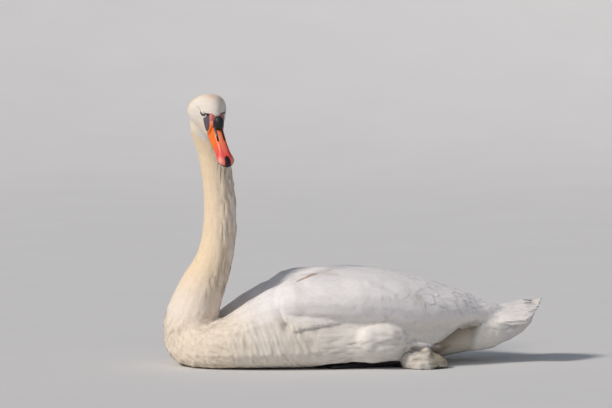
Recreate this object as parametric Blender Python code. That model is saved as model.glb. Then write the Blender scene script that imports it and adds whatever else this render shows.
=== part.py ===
"""A mute swan resting on the ground, neck raised and head turned to its left, at life size.

Metres, +Z up. The swan faces -X, its left side is towards -Y, and it sits on the floor plane z = 0.
The origin is the middle of its bounding box, at floor level.
"""

import math

import bmesh
import bpy
import numpy as np
from mathutils import Matrix, Vector

# ---------------------------------------------------------------- driving dimensions
GAP = 0.0003  # clearance between pieces that touch

BREAST_X = -0.363  # front of the breast
RUMP_X = 0.350  # end of the under-tail coverts
TAIL_TIP_X = 0.366
WING_FRONT_X = -0.175
WING_TIP_X = 0.286

NECK_CUT_BASE = 0.150  # heights at which the neck is parted
NECK_CUT_MIDDLE = 0.300

GAPE = Vector((-0.2684, -0.0491, 0.4374))  # corner of the mouth, on the head's mid plane
HEAD_TURN = math.radians(-74.0)  # heading of the bill, from +X
HEAD_PITCH = math.radians(40.5)  # bill below the horizontal
HEAD_ROLL = math.radians(5.5)  # crown leaning towards the right
BILL_LENGTH = 0.089  # gape to tip
EYE_RADIUS = 0.0062

TARSUS_RADIUS = 0.0065
WEB_THICKNESS = 0.0035

# Trunk stations: x, half width, height of the widest point, crown, keel, valley between the shoulders
TRUNK = (
    (-0.363, 0.050, 0.050, 0.092, -0.006, 0.000),
    (-0.325, 0.088, 0.050, 0.094, -0.009, 0.000),
    (-0.290, 0.108, 0.050, 0.084, -0.010, 0.004),
    (-0.262, 0.121, 0.051, 0.094, -0.010, 0.012),
    (-0.228, 0.131, 0.053, 0.121, -0.010, 0.026),
    (-0.190, 0.138, 0.056, 0.149, -0.010, 0.036),
    (-0.150, 0.142, 0.058, 0.168, -0.010, 0.034),
    (-0.110, 0.143, 0.059, 0.171, -0.010, 0.022),
    (-0.050, 0.141, 0.060, 0.166, -0.010, 0.008),
    (0.030, 0.136, 0.060, 0.162, -0.009, 0.000),
    (0.090, 0.121, 0.062, 0.150, -0.005, 0.000),
    (0.150, 0.098, 0.066, 0.131, 0.006, 0.000),
    (0.210, 0.072, 0.072, 0.110, 0.018, 0.000),
    (0.265, 0.057, 0.072, 0.097, 0.029, 0.000),
    (0.300, 0.057, 0.078, 0.100, 0.041, 0.000),
    (0.326, 0.054, 0.087, 0.104, 0.058, 0.000),
    (0.350, 0.048, 0.098, 0.109, 0.080, 0.000),
)

# Wing stations: x, middle from the mid plane, middle height, half width, half height
WING = (
    (-0.175, 0.088, 0.116, 0.044, 0.030),
    (-0.150, 0.082, 0.120, 0.058, 0.040),
    (-0.120, 0.072, 0.124, 0.071, 0.048),
    (-0.060, 0.050, 0.125, 0.098, 0.055),
    (0.010, 0.034, 0.121, 0.116, 0.061),
    (0.070, 0.026, 0.113, 0.114, 0.063),
    (0.120, 0.022, 0.105, 0.103, 0.059),
    (0.165, 0.020, 0.104, 0.085, 0.046),
    (0.205, 0.018, 0.102, 0.066, 0.034),
    (0.245, 0.016, 0.098, 0.043, 0.021),
    (0.286, 0.013, 0.096, 0.021, 0.008),
)

# Neck stations: x, y and height of the spine, half depth fore and aft, half width side to side
NECK = (
    (-0.3020, 0.000, 0.030, 0.0470, 0.0660),
    (-0.3095, 0.000, 0.074, 0.0530, 0.0720),
    (-0.2995, 0.000, 0.117, 0.0475, 0.0600),
    (-0.2850, 0.000, 0.154, 0.0425, 0.0500),
    (-0.2675, 0.000, 0.193, 0.0355, 0.0410),
    (-0.2570, 0.000, 0.235, 0.0330, 0.0355),
    (-0.2535, 0.000, 0.280, 0.0318, 0.0328),
    (-0.2550, 0.000, 0.325, 0.0305, 0.0308),
    (-0.2615, 0.000, 0.370, 0.0292, 0.0296),
    (-0.2700, 0.000, 0.410, 0.0286, 0.0290),
    (-0.2825, -0.004, 0.450, 0.0290, 0.0290),
    (-0.2840, -0.010, 0.476, 0.0240, 0.0240),
    (-0.2830, -0.016, 0.490, 0.0120, 0.0120),
)

# Head stations in its own frame (x forward along the bill, gape at 0): x, half width, widest height, crown, throat
HEAD = (
    (0.006, 0.0145, 0.010, 0.0330, -0.0130),
    (-0.006, 0.0180, 0.011, 0.0450, -0.0170),
    (-0.018, 0.0225, 0.012, 0.0538, -0.0200),
    (-0.030, 0.0282, 0.012, 0.0580, -0.0225),
    (-0.044, 0.0345, 0.011, 0.0570, -0.0235),
    (-0.060, 0.0372, 0.008, 0.0490, -0.0235),
    (-0.078, 0.0350, 0.002, 0.0360, -0.0250),
    (-0.097, 0.0290, -0.004, 0.0230, -0.0260),
)

# Upper bill stations, in the head's frame: x, half width, height of the culmen, height of the cutting edge
UPPER_BILL = (
    (-0.012, 0.0148, 0.0320, 0.0000),
    (0.004, 0.0154, 0.0290, 0.0000),
    (0.020, 0.0150, 0.0245, 0.0000),
    (0.038, 0.0146, 0.0190, 0.0004),
    (0.055, 0.0150, 0.0148, 0.0004),
    (0.070, 0.0162, 0.0118, -0.0002),
    (0.082, 0.0160, 0.0094, -0.0012),
    (0.089, 0.0130, 0.0078, -0.0030),
)

# Lower bill stations: x, half width, top, bottom
LOWER_BILL = (
    (-0.010, 0.0128, -0.0008, -0.0120),
    (0.015, 0.0126, -0.0006, -0.0110),
    (0.045, 0.0120, -0.0006, -0.0090),
    (0.070, 0.0126, -0.0010, -0.0075),
    (0.0835, 0.0110, -0.0022, -0.0065),
)

# Tail stations: x, half width, height of the ridge, thickness
TAIL = (
    (0.200, 0.034, 0.082, 0.012),
    (0.240, 0.048, 0.094, 0.014),
    (0.280, 0.062, 0.104, 0.014),
    (0.315, 0.072, 0.112, 0.011),
    (0.340, 0.072, 0.117, 0.008),
    (0.366, 0.060, 0.122, 0.005),
)


# ---------------------------------------------------------------- shape helpers
def table_at(rows, x):
    """The row of a station table at x, by smooth interpolation between its stations."""
    rows = np.array(rows)
    xs = rows[:, 0]
    slopes = np.gradient(rows, xs, axis=0)
    i = int(np.clip(np.searchsorted(xs, x) - 1, 0, len(xs) - 2))
    span = xs[i + 1] - xs[i]
    t = (x - xs[i]) / span
    h00 = 2 * t**3 - 3 * t**2 + 1
    h10 = t**3 - 2 * t**2 + t
    h01 = -2 * t**3 + 3 * t**2
    h11 = t**3 - t**2
    return h00 * rows[i] + h10 * span * slopes[i] + h01 * rows[i + 1] + h11 * span * slopes[i + 1]


def eased(start, end, count, ease_start=True, ease_end=True):
    """Positions from start to end, crowded towards an end that is rounded off."""
    t = np.linspace(0.0, 1.0, count)
    if ease_start and ease_end:
        t = (1 - np.cos(math.pi * t)) / 2 * 0.75 + t * 0.25
    elif ease_start:
        t = 1 - np.cos(math.pi / 2 * t) * 0.8 - (1 - t) * 0.2
    elif ease_end:
        t = np.sin(math.pi / 2 * t) * 0.8 + t * 0.2
    return start + (end - start) * t


def cap(distance, length):
    """Share of the full size at a distance from a rounded end whose cap has this length."""
    if distance >= length:
        return 1.0
    return math.sqrt(max(1 - (1 - distance / length) ** 2, 0.0))


def power(value, exponent):
    """Signed power, for superellipses."""
    return math.copysign(abs(value) ** exponent, value)


def loft(name, rings):
    """A closed solid through rings of points, with a point or a flat face at each end."""
    mesh = bpy.data.meshes.new(name)
    body = bmesh.new()
    loops = [[body.verts.new(point) for point in ring] for ring in rings]
    for near, far in zip(loops, loops[1:]):
        for i in range(len(near)):
            j = (i + 1) % len(near)
            body.faces.new((near[i], near[j], far[j], far[i]))
    body.faces.new(reversed(loops[0]))
    body.faces.new(loops[-1])
    bmesh.ops.remove_doubles(body, verts=body.verts, dist=1e-6)
    bmesh.ops.recalc_face_normals(body, faces=body.faces)
    bmesh.ops.triangulate(body, faces=body.faces)
    body.to_mesh(mesh)
    body.free()
    thing = bpy.data.objects.new(name, mesh)
    parts.objects.link(thing)
    return thing


def section(centre_y, widest, half_width, top, bottom, count, top_power=1.0, bottom_power=1.0):
    """(y, z) of an egg-shaped section whose upper and lower halves have their own heights."""
    points = []
    for k in range(count):
        angle = 2 * math.pi * k / count
        c, s = math.cos(angle), math.sin(angle)
        height, sharpness = (top - widest, top_power) if s >= 0 else (widest - bottom, bottom_power)
        points.append((centre_y + half_width * power(c, sharpness), widest + height * power(s, sharpness)))
    return points


def apply_all(thing):
    """Replaces the object's mesh by the one that its modifiers give."""
    graph = bpy.context.evaluated_depsgraph_get()
    mesh = bpy.data.meshes.new_from_object(thing.evaluated_get(graph))
    thing.modifiers.clear()
    thing.data = mesh


def is_closed(thing):
    """Whether the mesh is one that encloses a volume."""
    body = bmesh.new()
    body.from_mesh(thing.data)
    closed = len(body.faces) > 0 and all(edge.is_manifold for edge in body.edges)
    body.free()
    return closed


def combine(thing, other, operation):
    """Cuts other from thing, or joins it to thing; the second solver serves where the first gives nothing."""
    before = thing.data
    for solver in ("EXACT", "MANIFOLD"):
        thing.data = before
        modifier = thing.modifiers.new(operation.lower(), "BOOLEAN")
        modifier.operation = operation
        modifier.object = other
        modifier.solver = solver
        apply_all(thing)
        if is_closed(thing):
            return


def fattened(thing, by=GAP):
    """A cutter: a copy of thing, grown along its normals."""
    cutter = thing.copy()
    cutter.data = thing.data.copy()
    cutter.name = thing.name + "_cutter"
    cutters.objects.link(cutter)
    grow = cutter.modifiers.new("grow", "DISPLACE")
    grow.strength = by
    grow.mid_level = 0.0
    apply_all(cutter)
    cutter.hide_render = True
    cutter.display_type = "WIRE"
    return cutter


def cut(thing, *others, by=GAP):
    """Takes the other solids, grown by the clearance, out of thing."""
    for other in others:
        cutter = fattened(other, by)
        combine(thing, cutter, "DIFFERENCE")
        bpy.data.objects.remove(cutter)
        keep_largest(thing)


def keep_largest(thing):
    """Deletes the crumbs that a cut can leave, keeping the body with the most volume."""
    body = bmesh.new()
    body.from_mesh(thing.data)
    bmesh.ops.remove_doubles(body, verts=body.verts, dist=1e-6)
    bmesh.ops.triangulate(body, faces=body.faces)
    islands, seen = [], set()
    for start in body.verts:
        if start in seen:
            continue
        island, queue = set(), [start]
        while queue:
            vertex = queue.pop()
            if vertex in island:
                continue
            island.add(vertex)
            queue += [edge.other_vert(vertex) for edge in vertex.link_edges]
        seen |= island
        islands.append(island)
    largest = max(islands, key=len)
    bmesh.ops.delete(body, geom=[v for v in body.verts if v not in largest], context="VERTS")
    body.to_mesh(thing.data)
    body.free()


def keep_side(thing, point, normal):
    """Keeps the part of thing on the side that the plane's normal points to, with the cut closed."""
    body = bmesh.new()
    body.from_mesh(thing.data)
    geometry = body.verts[:] + body.edges[:] + body.faces[:]
    found = bmesh.ops.bisect_plane(
        body, geom=geometry, plane_co=point, plane_no=normal, clear_inner=True, dist=1e-7
    )
    edges = [e for e in found["geom_cut"] if isinstance(e, bmesh.types.BMEdge)]
    bmesh.ops.contextual_create(body, geom=edges)
    bmesh.ops.triangulate(body, faces=body.faces)
    bmesh.ops.recalc_face_normals(body, faces=body.faces)
    body.to_mesh(thing.data)
    body.free()


def duplicate(thing, name):
    """A copy with its own mesh, in the same collection."""
    twin = thing.copy()
    twin.data = thing.data.copy()
    twin.name = name
    parts.objects.link(twin)
    return twin


def mirrored(thing, name):
    """The same piece on the other side of the mid plane."""
    twin = duplicate(thing, name)
    twin.data.transform(Matrix.Scale(-1, 4, (0, 1, 0)))
    twin.data.flip_normals()
    return twin


def ellipsoid(name, centre, radii, segments=18, rings=10, turn=None):
    """A solid ellipsoid with its radii along its own axes."""
    mesh = bpy.data.meshes.new(name)
    body = bmesh.new()
    bmesh.ops.create_uvsphere(body, u_segments=segments, v_segments=rings, radius=1.0)
    bmesh.ops.triangulate(body, faces=body.faces)
    place = Matrix.Translation(centre) @ (turn or Matrix.Identity(4)) @ Matrix.Diagonal((*radii, 1))
    body.transform(place)
    body.to_mesh(mesh)
    body.free()
    thing = bpy.data.objects.new(name, mesh)
    parts.objects.link(thing)
    return thing


def tube(name, points, radii, sides=14):
    """A tapering round rod along a path in which no two points coincide."""
    rings = []
    count = len(points)
    for i, (point, radius) in enumerate(zip(points, radii)):
        point = Vector(point)
        ahead = Vector(points[min(i + 1, count - 1)])
        behind = Vector(points[max(i - 1, 0)])
        turn = (ahead - behind).to_track_quat("Z", "Y")
        ring = []
        for k in range(sides):
            angle = 2 * math.pi * k / sides
            ring.append(point + turn @ Vector((radius * math.cos(angle), radius * math.sin(angle), 0)))
        rings.append(ring)
    return loft(name, rings)


def finish(name, colour, roughness):
    """A plain dielectric material."""
    material = bpy.data.materials.new(name)
    material.use_nodes = True
    shader = material.node_tree.nodes["Principled BSDF"]
    shader.inputs["Base Color"].default_value = (*colour, 1.0)
    shader.inputs["Roughness"].default_value = roughness
    shader.inputs["Metallic"].default_value = 0.0
    material.diffuse_color = (*colour, 1.0)
    return material


def dress(thing, material, smooth_angle=50):
    """Gives the piece its material and smooth shading with sharp edges kept."""
    thing.data.materials.clear()
    thing.data.materials.append(material)
    thing.data.shade_smooth()
    thing.data.set_sharp_from_angle(angle=math.radians(smooth_angle))


# ---------------------------------------------------------------- trunk and neck
def trunk_ring(x, count=24):
    """The trunk's section at x, flat where it presses on the floor."""
    _, half_width, widest, crown, keel, valley = table_at(TRUNK, x)
    size = max(min(cap(x - BREAST_X, 0.075), cap(RUMP_X - x, 0.022)), 0.02)
    top = widest + (crown - widest) * size
    bottom = widest - (widest - keel) * size
    flat = section(0.0, widest, half_width * size, top, bottom, count, 0.80, 0.72)
    ring = []
    for y, z in flat:
        if z > widest:
            z -= valley * math.exp(-((y / 0.045) ** 2))
        ring.append((x, y, max(z, 0.0)))
    return ring


def build_trunk():
    """Breast, belly, flanks and rump in one, with the root of the neck joined on."""
    trunk = loft("trunk", [trunk_ring(x) for x in eased(BREAST_X, RUMP_X, 22)])
    for side in (-1, 1):
        flank = ellipsoid("flank", (0.030, side * 0.100, 0.059), (0.064, 0.056, 0.039), 14, 8)
        keep_side(flank, (0, 0, 0.004), (0, 0, 1))
        combine(trunk, flank, "UNION")
        bpy.data.objects.remove(flank)
    return trunk


def neck_ring(i_along, spine, half_depth, half_width, count=20):
    """One section of the neck, square to its spine."""
    here = spine[i_along]
    ahead = spine[min(i_along + 1, len(spine) - 1)]
    behind = spine[max(i_along - 1, 0)]
    along = (ahead - behind).normalized()
    side = Vector((0, 1, 0))
    fore = side.cross(along).normalized()
    ring = []
    for k in range(count):
        angle = 2 * math.pi * k / count
        across = half_width[i_along] * math.cos(angle)
        deep = half_depth[i_along] * math.sin(angle)
        ring.append(here + side * across + fore * deep)
    return ring


def build_neck():
    """The whole neck, from inside the breast up to inside the head."""
    rows = [(i, *row) for i, row in enumerate(NECK)]
    samples = [table_at(rows, t) for t in np.linspace(0, len(NECK) - 1, 24)]
    spine = [Vector(s[1:4]) for s in samples]
    half_depth = [s[4] for s in samples]
    half_width = [s[5] for s in samples]
    return loft("neck", [neck_ring(i, spine, half_depth, half_width) for i in range(len(spine))])


def part_neck(neck, trunk):
    """Parts the neck at two heights and joins its root to the trunk."""
    up, down = Vector((0.35, 0, 0.94)), Vector((-0.35, 0, -0.94))
    level_up, level_down = Vector((0, 0, 1)), Vector((0, 0, -1))
    base_at = Vector((-0.285, 0, NECK_CUT_BASE))
    middle_at = Vector((0, 0, NECK_CUT_MIDDLE))
    root = duplicate(neck, "neck_root")
    keep_side(root, base_at, down)
    combine(trunk, root, "UNION")
    bpy.data.objects.remove(root)
    lower = duplicate(neck, "neck_lower")
    keep_side(lower, base_at + up * GAP, up)
    keep_side(lower, middle_at, level_down)
    upper = duplicate(neck, "neck_upper")
    keep_side(upper, middle_at + level_up * GAP, level_up)
    bpy.data.objects.remove(neck)
    return lower, upper


# ---------------------------------------------------------------- head
def head_frame():
    """Takes the head's own frame to its place on the swan."""
    turn = Matrix.Rotation(HEAD_TURN, 4, "Z") @ Matrix.Rotation(HEAD_PITCH, 4, "Y")
    return Matrix.Translation(GAPE) @ turn @ Matrix.Rotation(HEAD_ROLL, 4, "X")


def build_skull():
    """The feathered head, from the bill's base to the nape."""
    rows = sorted(HEAD)
    back, front = rows[0][0], rows[-1][0]
    rings = []
    for x in eased(back, front, 15, True, False):
        _, half_width, widest, crown, throat = table_at(rows, x)
        size = max(cap(x - back, 0.038), 0.03)
        flat = section(
            0.0, widest, half_width * size, widest + (crown - widest) * size,
            widest - (widest - throat) * size, 20, 1.0, 0.95,
        )
        rings.append([(x, y, z) for y, z in flat])
    return loft("head", rings)


def build_upper_bill():
    """The orange upper bill, with the nail turned down at its tip."""
    rings = []
    first = UPPER_BILL[0][0]
    for x in eased(first, BILL_LENGTH, 12, False, True):
        _, half_width, culmen, edge = table_at(UPPER_BILL, x)
        size = max(cap(BILL_LENGTH - x, 0.016), 0.06)
        middle = edge + 0.0015
        flat = section(0.0, middle, half_width * size, middle + (culmen - middle) * (0.5 + size / 2), edge, 16, 0.82, 0.6)
        rings.append([(x, y, z) for y, z in flat])
    return loft("bill_upper", rings)


def build_lower_bill():
    """The lower bill, closed against the upper one."""
    rings = []
    first, last = LOWER_BILL[0][0], LOWER_BILL[-1][0]
    for x in eased(first, last, 10, False, True):
        _, half_width, top, bottom = table_at(LOWER_BILL, x)
        size = max(cap(last - x, 0.014), 0.08)
        middle = top - 0.0012
        flat = section(0.0, middle, half_width * size, top, middle - (middle - bottom) * (0.5 + size / 2), 16, 0.6, 0.85)
        rings.append([(x, y, z) for y, z in flat])
    return loft("bill_lower", rings)


def build_knob():
    """The black fleshy knob on the forehead, just over the bill's base."""
    lean = Matrix.Rotation(math.radians(38), 4, "Y")
    return ellipsoid("bill_knob", (0.0085, 0.0, 0.0345), (0.0120, 0.0103, 0.0098), 14, 9, lean)


def build_head():
    """Head, bill, knob and eyes, fitted to each other and set in place."""
    head = build_skull()
    knob = build_knob()
    upper = build_upper_bill()
    lower = build_lower_bill()
    eyes = [ellipsoid(f"eye_{side}", (-0.0270, y, 0.0325), (EYE_RADIUS,) * 3, 12, 8)
            for side, y in (("left", 0.0182), ("right", -0.0182))]
    cut(upper, head)
    cut(lower, head)
    cut(lower, upper)
    cut(head, knob)
    cut(upper, knob)
    cut(head, *eyes)
    place = head_frame()
    for thing in (head, knob, upper, lower, *eyes):
        thing.data.transform(place)
    return head, knob, upper, lower, eyes


# ---------------------------------------------------------------- wings and tail
def build_wing():
    """The folded left wing as a full rounded form; the trunk is cut from it later."""
    rings = []
    for x in eased(WING_FRONT_X, WING_TIP_X, 18):
        _, middle_y, middle_z, half_width, half_height = table_at(WING, x)
        size = max(min(cap(x - WING_FRONT_X, 0.050), cap(WING_TIP_X - x, 0.030)), 0.04)
        flat = section(
            -middle_y, middle_z, half_width * size, middle_z + half_height * size,
            middle_z - half_height * size, 22, 0.92, 0.86,
        )
        rings.append([(x, min(y, -GAP / 2), z) for y, z in flat])
    return loft("wing_left", rings)


def build_tail():
    """The fan of tail feathers, arched like a low roof and pointed at the middle."""
    rings = []
    count = 8
    for x in eased(TAIL[0][0], TAIL_TIP_X, 10, False, True):
        _, half_width, ridge, thickness = table_at(TAIL, x)
        size = max(cap(TAIL_TIP_X - x, 0.050) ** 1.4, 0.05)
        top, under = [], []
        for k in range(count + 1):
            share = math.cos(math.pi * k / count)
            y = half_width * size * share
            droop = 6.2 * y**2
            rim = math.sqrt(max(1 - share**2, 0.0))
            top.append((x, y, ridge - droop))
            under.append((x, y, ridge - droop - 0.0012 - thickness * rim))
        rings.append(top + under[::-1])
    return loft("tail", rings)


# ---------------------------------------------------------------- legs
def build_shank():
    """The feathered lower leg, folded on the floor behind the left flank."""
    shank = ellipsoid("shank_left", (0.121, -0.112, 0.007), (0.047, 0.034, 0.032), 16, 10)
    keep_side(shank, (0, 0, 0), (0, 0, 1))
    return shank


def toe_tips():
    """Heel of the left foot, and the tips of its outer, middle and inner toes, on the floor."""
    heel = Vector((0.034, -0.083, 0.0))
    toes = []
    for degrees, length in ((-19, 0.094), (0, 0.112), (19, 0.092)):
        angle = math.radians(degrees)
        toes.append(heel + Vector((-math.cos(angle), math.sin(angle), 0.0)) * length)
    return heel, toes


def build_foot():
    """Tarsus, three toes with claws, and the webs between them, flat on the floor."""
    heel, toes = toe_tips()
    outline = [heel + Vector((0.006, 0.0, 0.0))]
    for near, far in zip(toes, toes[1:]):
        for t in (0.0, 0.25, 0.5, 0.75):
            outline.append(near.lerp(far, t).lerp(heel, 0.13 * math.sin(math.pi * t)))
    outline.append(toes[-1])
    thickness = Vector((0.0, 0.0, WEB_THICKNESS))
    foot = loft("foot_left", [outline, [point + thickness for point in outline]])
    tarsus = tube(
        "tarsus",
        [(0.108, -0.098, 0.0100), (0.070, -0.089, 0.0090), (heel.x + 0.004, heel.y, 0.0072)],
        [TARSUS_RADIUS * 1.25, TARSUS_RADIUS, TARSUS_RADIUS * 1.05],
        10,
    )
    combine(foot, tarsus, "UNION")
    bpy.data.objects.remove(tarsus)
    for toe_tip in toes:
        path = []
        for share, height in ((0.0, 0.0058), (0.5, 0.0046), (0.97, 0.0032), (1.07, 0.0016)):
            path.append(heel.lerp(toe_tip, share) + Vector((0.0, 0.0, height)))
        toe = tube("toe", path, [0.0052, 0.0042, 0.0030, 0.0009], 8)
        combine(foot, toe, "UNION")
        bpy.data.objects.remove(toe)
    keep_side(foot, (0, 0, 0), (0, 0, 1))
    return foot


def hollow_belly(trunk):
    """Makes room under each flank for the folded foot and lower leg."""
    for side in (-1, 1):
        recess = ellipsoid("recess", (0.016, side * 0.083, 0.0), (0.120, 0.044, 0.024), 16, 8)
        combine(trunk, recess, "DIFFERENCE")
        bpy.data.objects.remove(recess)
    keep_largest(trunk)


# ---------------------------------------------------------------- assembly
def clear_scene():
    """Empties the scene."""
    for thing in list(bpy.data.objects):
        bpy.data.objects.remove(thing)


def centre(things):
    """Moves the swan so that its bounding box is centred on the origin."""
    corners = np.array([v.co for thing in things for v in thing.data.vertices])
    middle = (corners.min(axis=0) + corners.max(axis=0)) / 2
    for thing in things:
        thing.data.transform(Matrix.Translation((-middle[0], -middle[1], 0.0)))


def build_swan():
    """Every piece of the swan, fitted together."""
    white = finish("white_plumage", (0.83, 0.81, 0.77), 0.85)
    cream = finish("cream_plumage", (0.80, 0.72, 0.58), 0.85)
    orange = finish("orange_bill", (0.80, 0.16, 0.05), 0.35)
    black = finish("black_skin", (0.015, 0.014, 0.016), 0.45)
    grey_black = finish("foot_skin", (0.030, 0.030, 0.033), 0.55)
    iris = finish("dark_eye", (0.012, 0.008, 0.006), 0.08)

    trunk = build_trunk()
    neck = build_neck()
    head, knob, upper_bill, lower_bill, eyes = build_head()
    neck_lower, neck_upper = part_neck(neck, trunk)
    cut(neck_upper, head)

    wing_left = build_wing()
    wing_right = mirrored(wing_left, "wing_right")
    tail = build_tail()
    cut(tail, trunk, wing_left, wing_right)
    cut(wing_left, trunk)
    cut(wing_right, trunk)

    shank_left = build_shank()
    foot_left = build_foot()
    cut(foot_left, shank_left)
    shank_right = mirrored(shank_left, "shank_right")
    foot_right = mirrored(foot_left, "foot_right")
    hollow_belly(trunk)
    cut(trunk, shank_left, shank_right)

    for thing in (trunk, wing_left, wing_right, tail, shank_left, shank_right):
        dress(thing, white)
    for thing in (neck_lower, neck_upper, head):
        dress(thing, cream)
    dress(upper_bill, orange)
    for thing in (lower_bill, knob):
        dress(thing, black)
    for thing in (foot_left, foot_right):
        dress(thing, grey_black)
    for eye in eyes:
        dress(eye, iris)
    centre(parts.objects)


clear_scene()
parts = bpy.data.collections.new("mute_swan")
cutters = bpy.data.collections.new("cutters")
bpy.context.scene.collection.children.link(parts)
bpy.context.scene.collection.children.link(cutters)
build_swan()
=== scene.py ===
"""A life-size mute swan resting on the ground: skin, plumage, bill, eyes, feet and studio.

Metres, +Z up. The swan faces -X and turns its head to its left, towards -Y.
"""

import sys

import logging
import math
from collections.abc import Callable
from dataclasses import dataclass, field
from enum import Enum

import bpy
import numpy as np
from mathutils import Matrix, Vector, noise
from mathutils.bvhtree import BVHTree
from mathutils.kdtree import KDTree


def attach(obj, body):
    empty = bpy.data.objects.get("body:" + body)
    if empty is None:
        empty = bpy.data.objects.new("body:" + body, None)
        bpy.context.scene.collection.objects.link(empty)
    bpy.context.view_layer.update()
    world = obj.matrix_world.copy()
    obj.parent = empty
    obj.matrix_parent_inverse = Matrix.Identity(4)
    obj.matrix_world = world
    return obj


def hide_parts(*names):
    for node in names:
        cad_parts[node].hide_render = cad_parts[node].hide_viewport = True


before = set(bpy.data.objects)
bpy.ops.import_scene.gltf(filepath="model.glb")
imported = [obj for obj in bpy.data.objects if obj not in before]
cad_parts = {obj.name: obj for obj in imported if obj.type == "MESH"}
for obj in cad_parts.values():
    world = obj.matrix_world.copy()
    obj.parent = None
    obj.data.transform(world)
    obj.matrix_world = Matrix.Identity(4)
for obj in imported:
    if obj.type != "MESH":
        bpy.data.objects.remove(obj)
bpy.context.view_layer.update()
log = logging.getLogger("mute_swan")

FLESH = (
    "trunk", "neck_lower", "neck_upper", "head", "wing_left", "wing_right", "tail",
    "shank_left", "shank_right",
)
MM = 0.001
# past any distance on the swan
FAR = 1e9
# where the tail's own feathers begin
TAIL_X = 0.262


# ---------------------------------------------------------------- small tools
def linear(code: str) -> np.ndarray:
    """Turns an sRGB hex colour into linear light.

    Args:
        code: six hex digits.

    Returns:
        Red, green and blue from 0 to 1.
    """
    value = np.array([int(code[i : i + 2], 16) for i in (0, 2, 4)]) / 255
    return np.where(value <= 0.04045, value / 12.92, ((value + 0.055) / 1.055) ** 2.4)


def step(low: float, high: float, value: np.ndarray) -> np.ndarray:
    """A smooth step.

    Args:
        low: where it is 0.
        high: where it is 1, which may be below low.
        value: where it is wanted.

    Returns:
        Numbers from 0 to 1.
    """
    t = np.clip((np.asarray(value, float) - low) / (high - low), 0, 1)
    return t * t * (3 - 2 * t)


def span(value: np.ndarray, rise: tuple[float, float], fall: tuple[float, float]) -> np.ndarray:
    """A smooth stretch: it goes from 0 to 1 over the rise and back to 0 over the fall."""
    return step(*rise, value) * step(fall[1], fall[0], value)


def bell(distance: np.ndarray, width: float) -> np.ndarray:
    """A smooth hump, 1 at no distance and 0.37 at its width."""
    return np.exp(-((distance / width) ** 2))


def unit(vectors: np.ndarray) -> np.ndarray:
    """Scales the last axis of an array to length 1."""
    return vectors / np.maximum(np.linalg.norm(vectors, axis=-1, keepdims=True), 1e-12)


def ripple(points: np.ndarray, size: float, seed: float = 0.0, where: np.ndarray | None = None) -> np.ndarray:
    """Smooth noise over a set of places.

    Args:
        points: places in metres.
        size: width of one wave, in metres.
        seed: moves to another piece of the noise.
        where: marks the places that need it; the others get 0.

    Returns:
        Numbers from about -1 to 1, one for each place.
    """
    values = np.zeros(len(points))
    chosen = np.arange(len(points)) if where is None else np.nonzero(where)[0]
    shifted = points[chosen] / size + np.array([seed * 7.3, seed * 3.1, seed * 5.7])
    values[chosen] = [noise.noise(p) for p in shifted.tolist()]
    return values


def from_line(x: np.ndarray, z: np.ndarray, line: tuple) -> np.ndarray:
    """How far places are from a bent line, seen from the side.

    Args:
        x: places along the body.
        z: heights.
        line: its corners as pairs of x and z.

    Returns:
        Distances.
    """
    best = np.full(len(x), FAR)
    for a, b in zip(line, line[1:]):
        dx, dz = b[0] - a[0], b[1] - a[1]
        t = np.clip(((x - a[0]) * dx + (z - a[1]) * dz) / (dx * dx + dz * dz), 0, 1)
        best = np.minimum(best, np.hypot(x - a[0] - t * dx, z - a[1] - t * dz))
    return best


def height_on(line: tuple, x: np.ndarray) -> np.ndarray:
    """The height of a bent line, given as pairs of x and z, at each x."""
    return np.interp(x, [p[0] for p in line], [p[1] for p in line])


def layered(colour: np.ndarray, *layers: tuple[str, np.ndarray]) -> np.ndarray:
    """Lays colours over one another.

    Args:
        colour: rows of linear red, green and blue.
        layers: sRGB hex codes with their share at each place, laid in this order.

    Returns:
        The rows under the last layer's colour.
    """
    for code, share in layers:
        colour = colour + (linear(code) - colour) * np.clip(share, 0, 1)[:, None]
    return colour


def fill(tree: bpy.types.NodeTree, node: bpy.types.Node, sockets: dict) -> None:
    """Sets or links the inputs of a node.

    Args:
        tree: the node's tree.
        node: the node.
        sockets: values by name or number; a socket of another node is linked.
    """
    for key, value in sockets.items():
        if isinstance(value, bpy.types.NodeSocket):
            tree.links.new(value, node.inputs[key])
        else:
            node.inputs[key].default_value = value


def add(
    tree: bpy.types.NodeTree, kind: str, sockets: dict | None = None, **settings: object
) -> bpy.types.Node:
    """Adds a node to a tree, with its settings and links.

    Args:
        tree: the tree.
        kind: the node's Blender type.
        sockets: values for its inputs, as fill takes them.
        settings: its other properties by name.

    Returns:
        The new node.
    """
    node = tree.nodes.new(kind)
    for name, value in settings.items():
        setattr(node, name, value)
    fill(tree, node, sockets or {})
    return node


def blank(name: str) -> tuple[bpy.types.Material, bpy.types.NodeTree, bpy.types.Node]:
    """A new material.

    Args:
        name: the real substance.

    Returns:
        The material, its node tree and its shader.
    """
    made = bpy.data.materials.new(name)
    made.use_nodes = True
    return made, made.node_tree, made.node_tree.nodes["Principled BSDF"]


def alone(thing: bpy.types.Object) -> None:
    """Makes an object the only one selected, and the active one.

    Args:
        thing: the object.
    """
    bpy.ops.object.select_all(action="DESELECT")
    thing.select_set(True)
    bpy.context.view_layer.objects.active = thing


def apply(thing: bpy.types.Object, kind: str, **settings: object) -> None:
    """Adds a modifier to an object and applies it.

    Args:
        thing: the object.
        kind: the modifier's Blender type.
        settings: the modifier's properties by name.
    """
    alone(thing)
    modifier = thing.modifiers.new(kind.lower(), kind)
    for name, value in settings.items():
        setattr(modifier, name, value)
    bpy.ops.object.modifier_apply(modifier=modifier.name)


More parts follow.
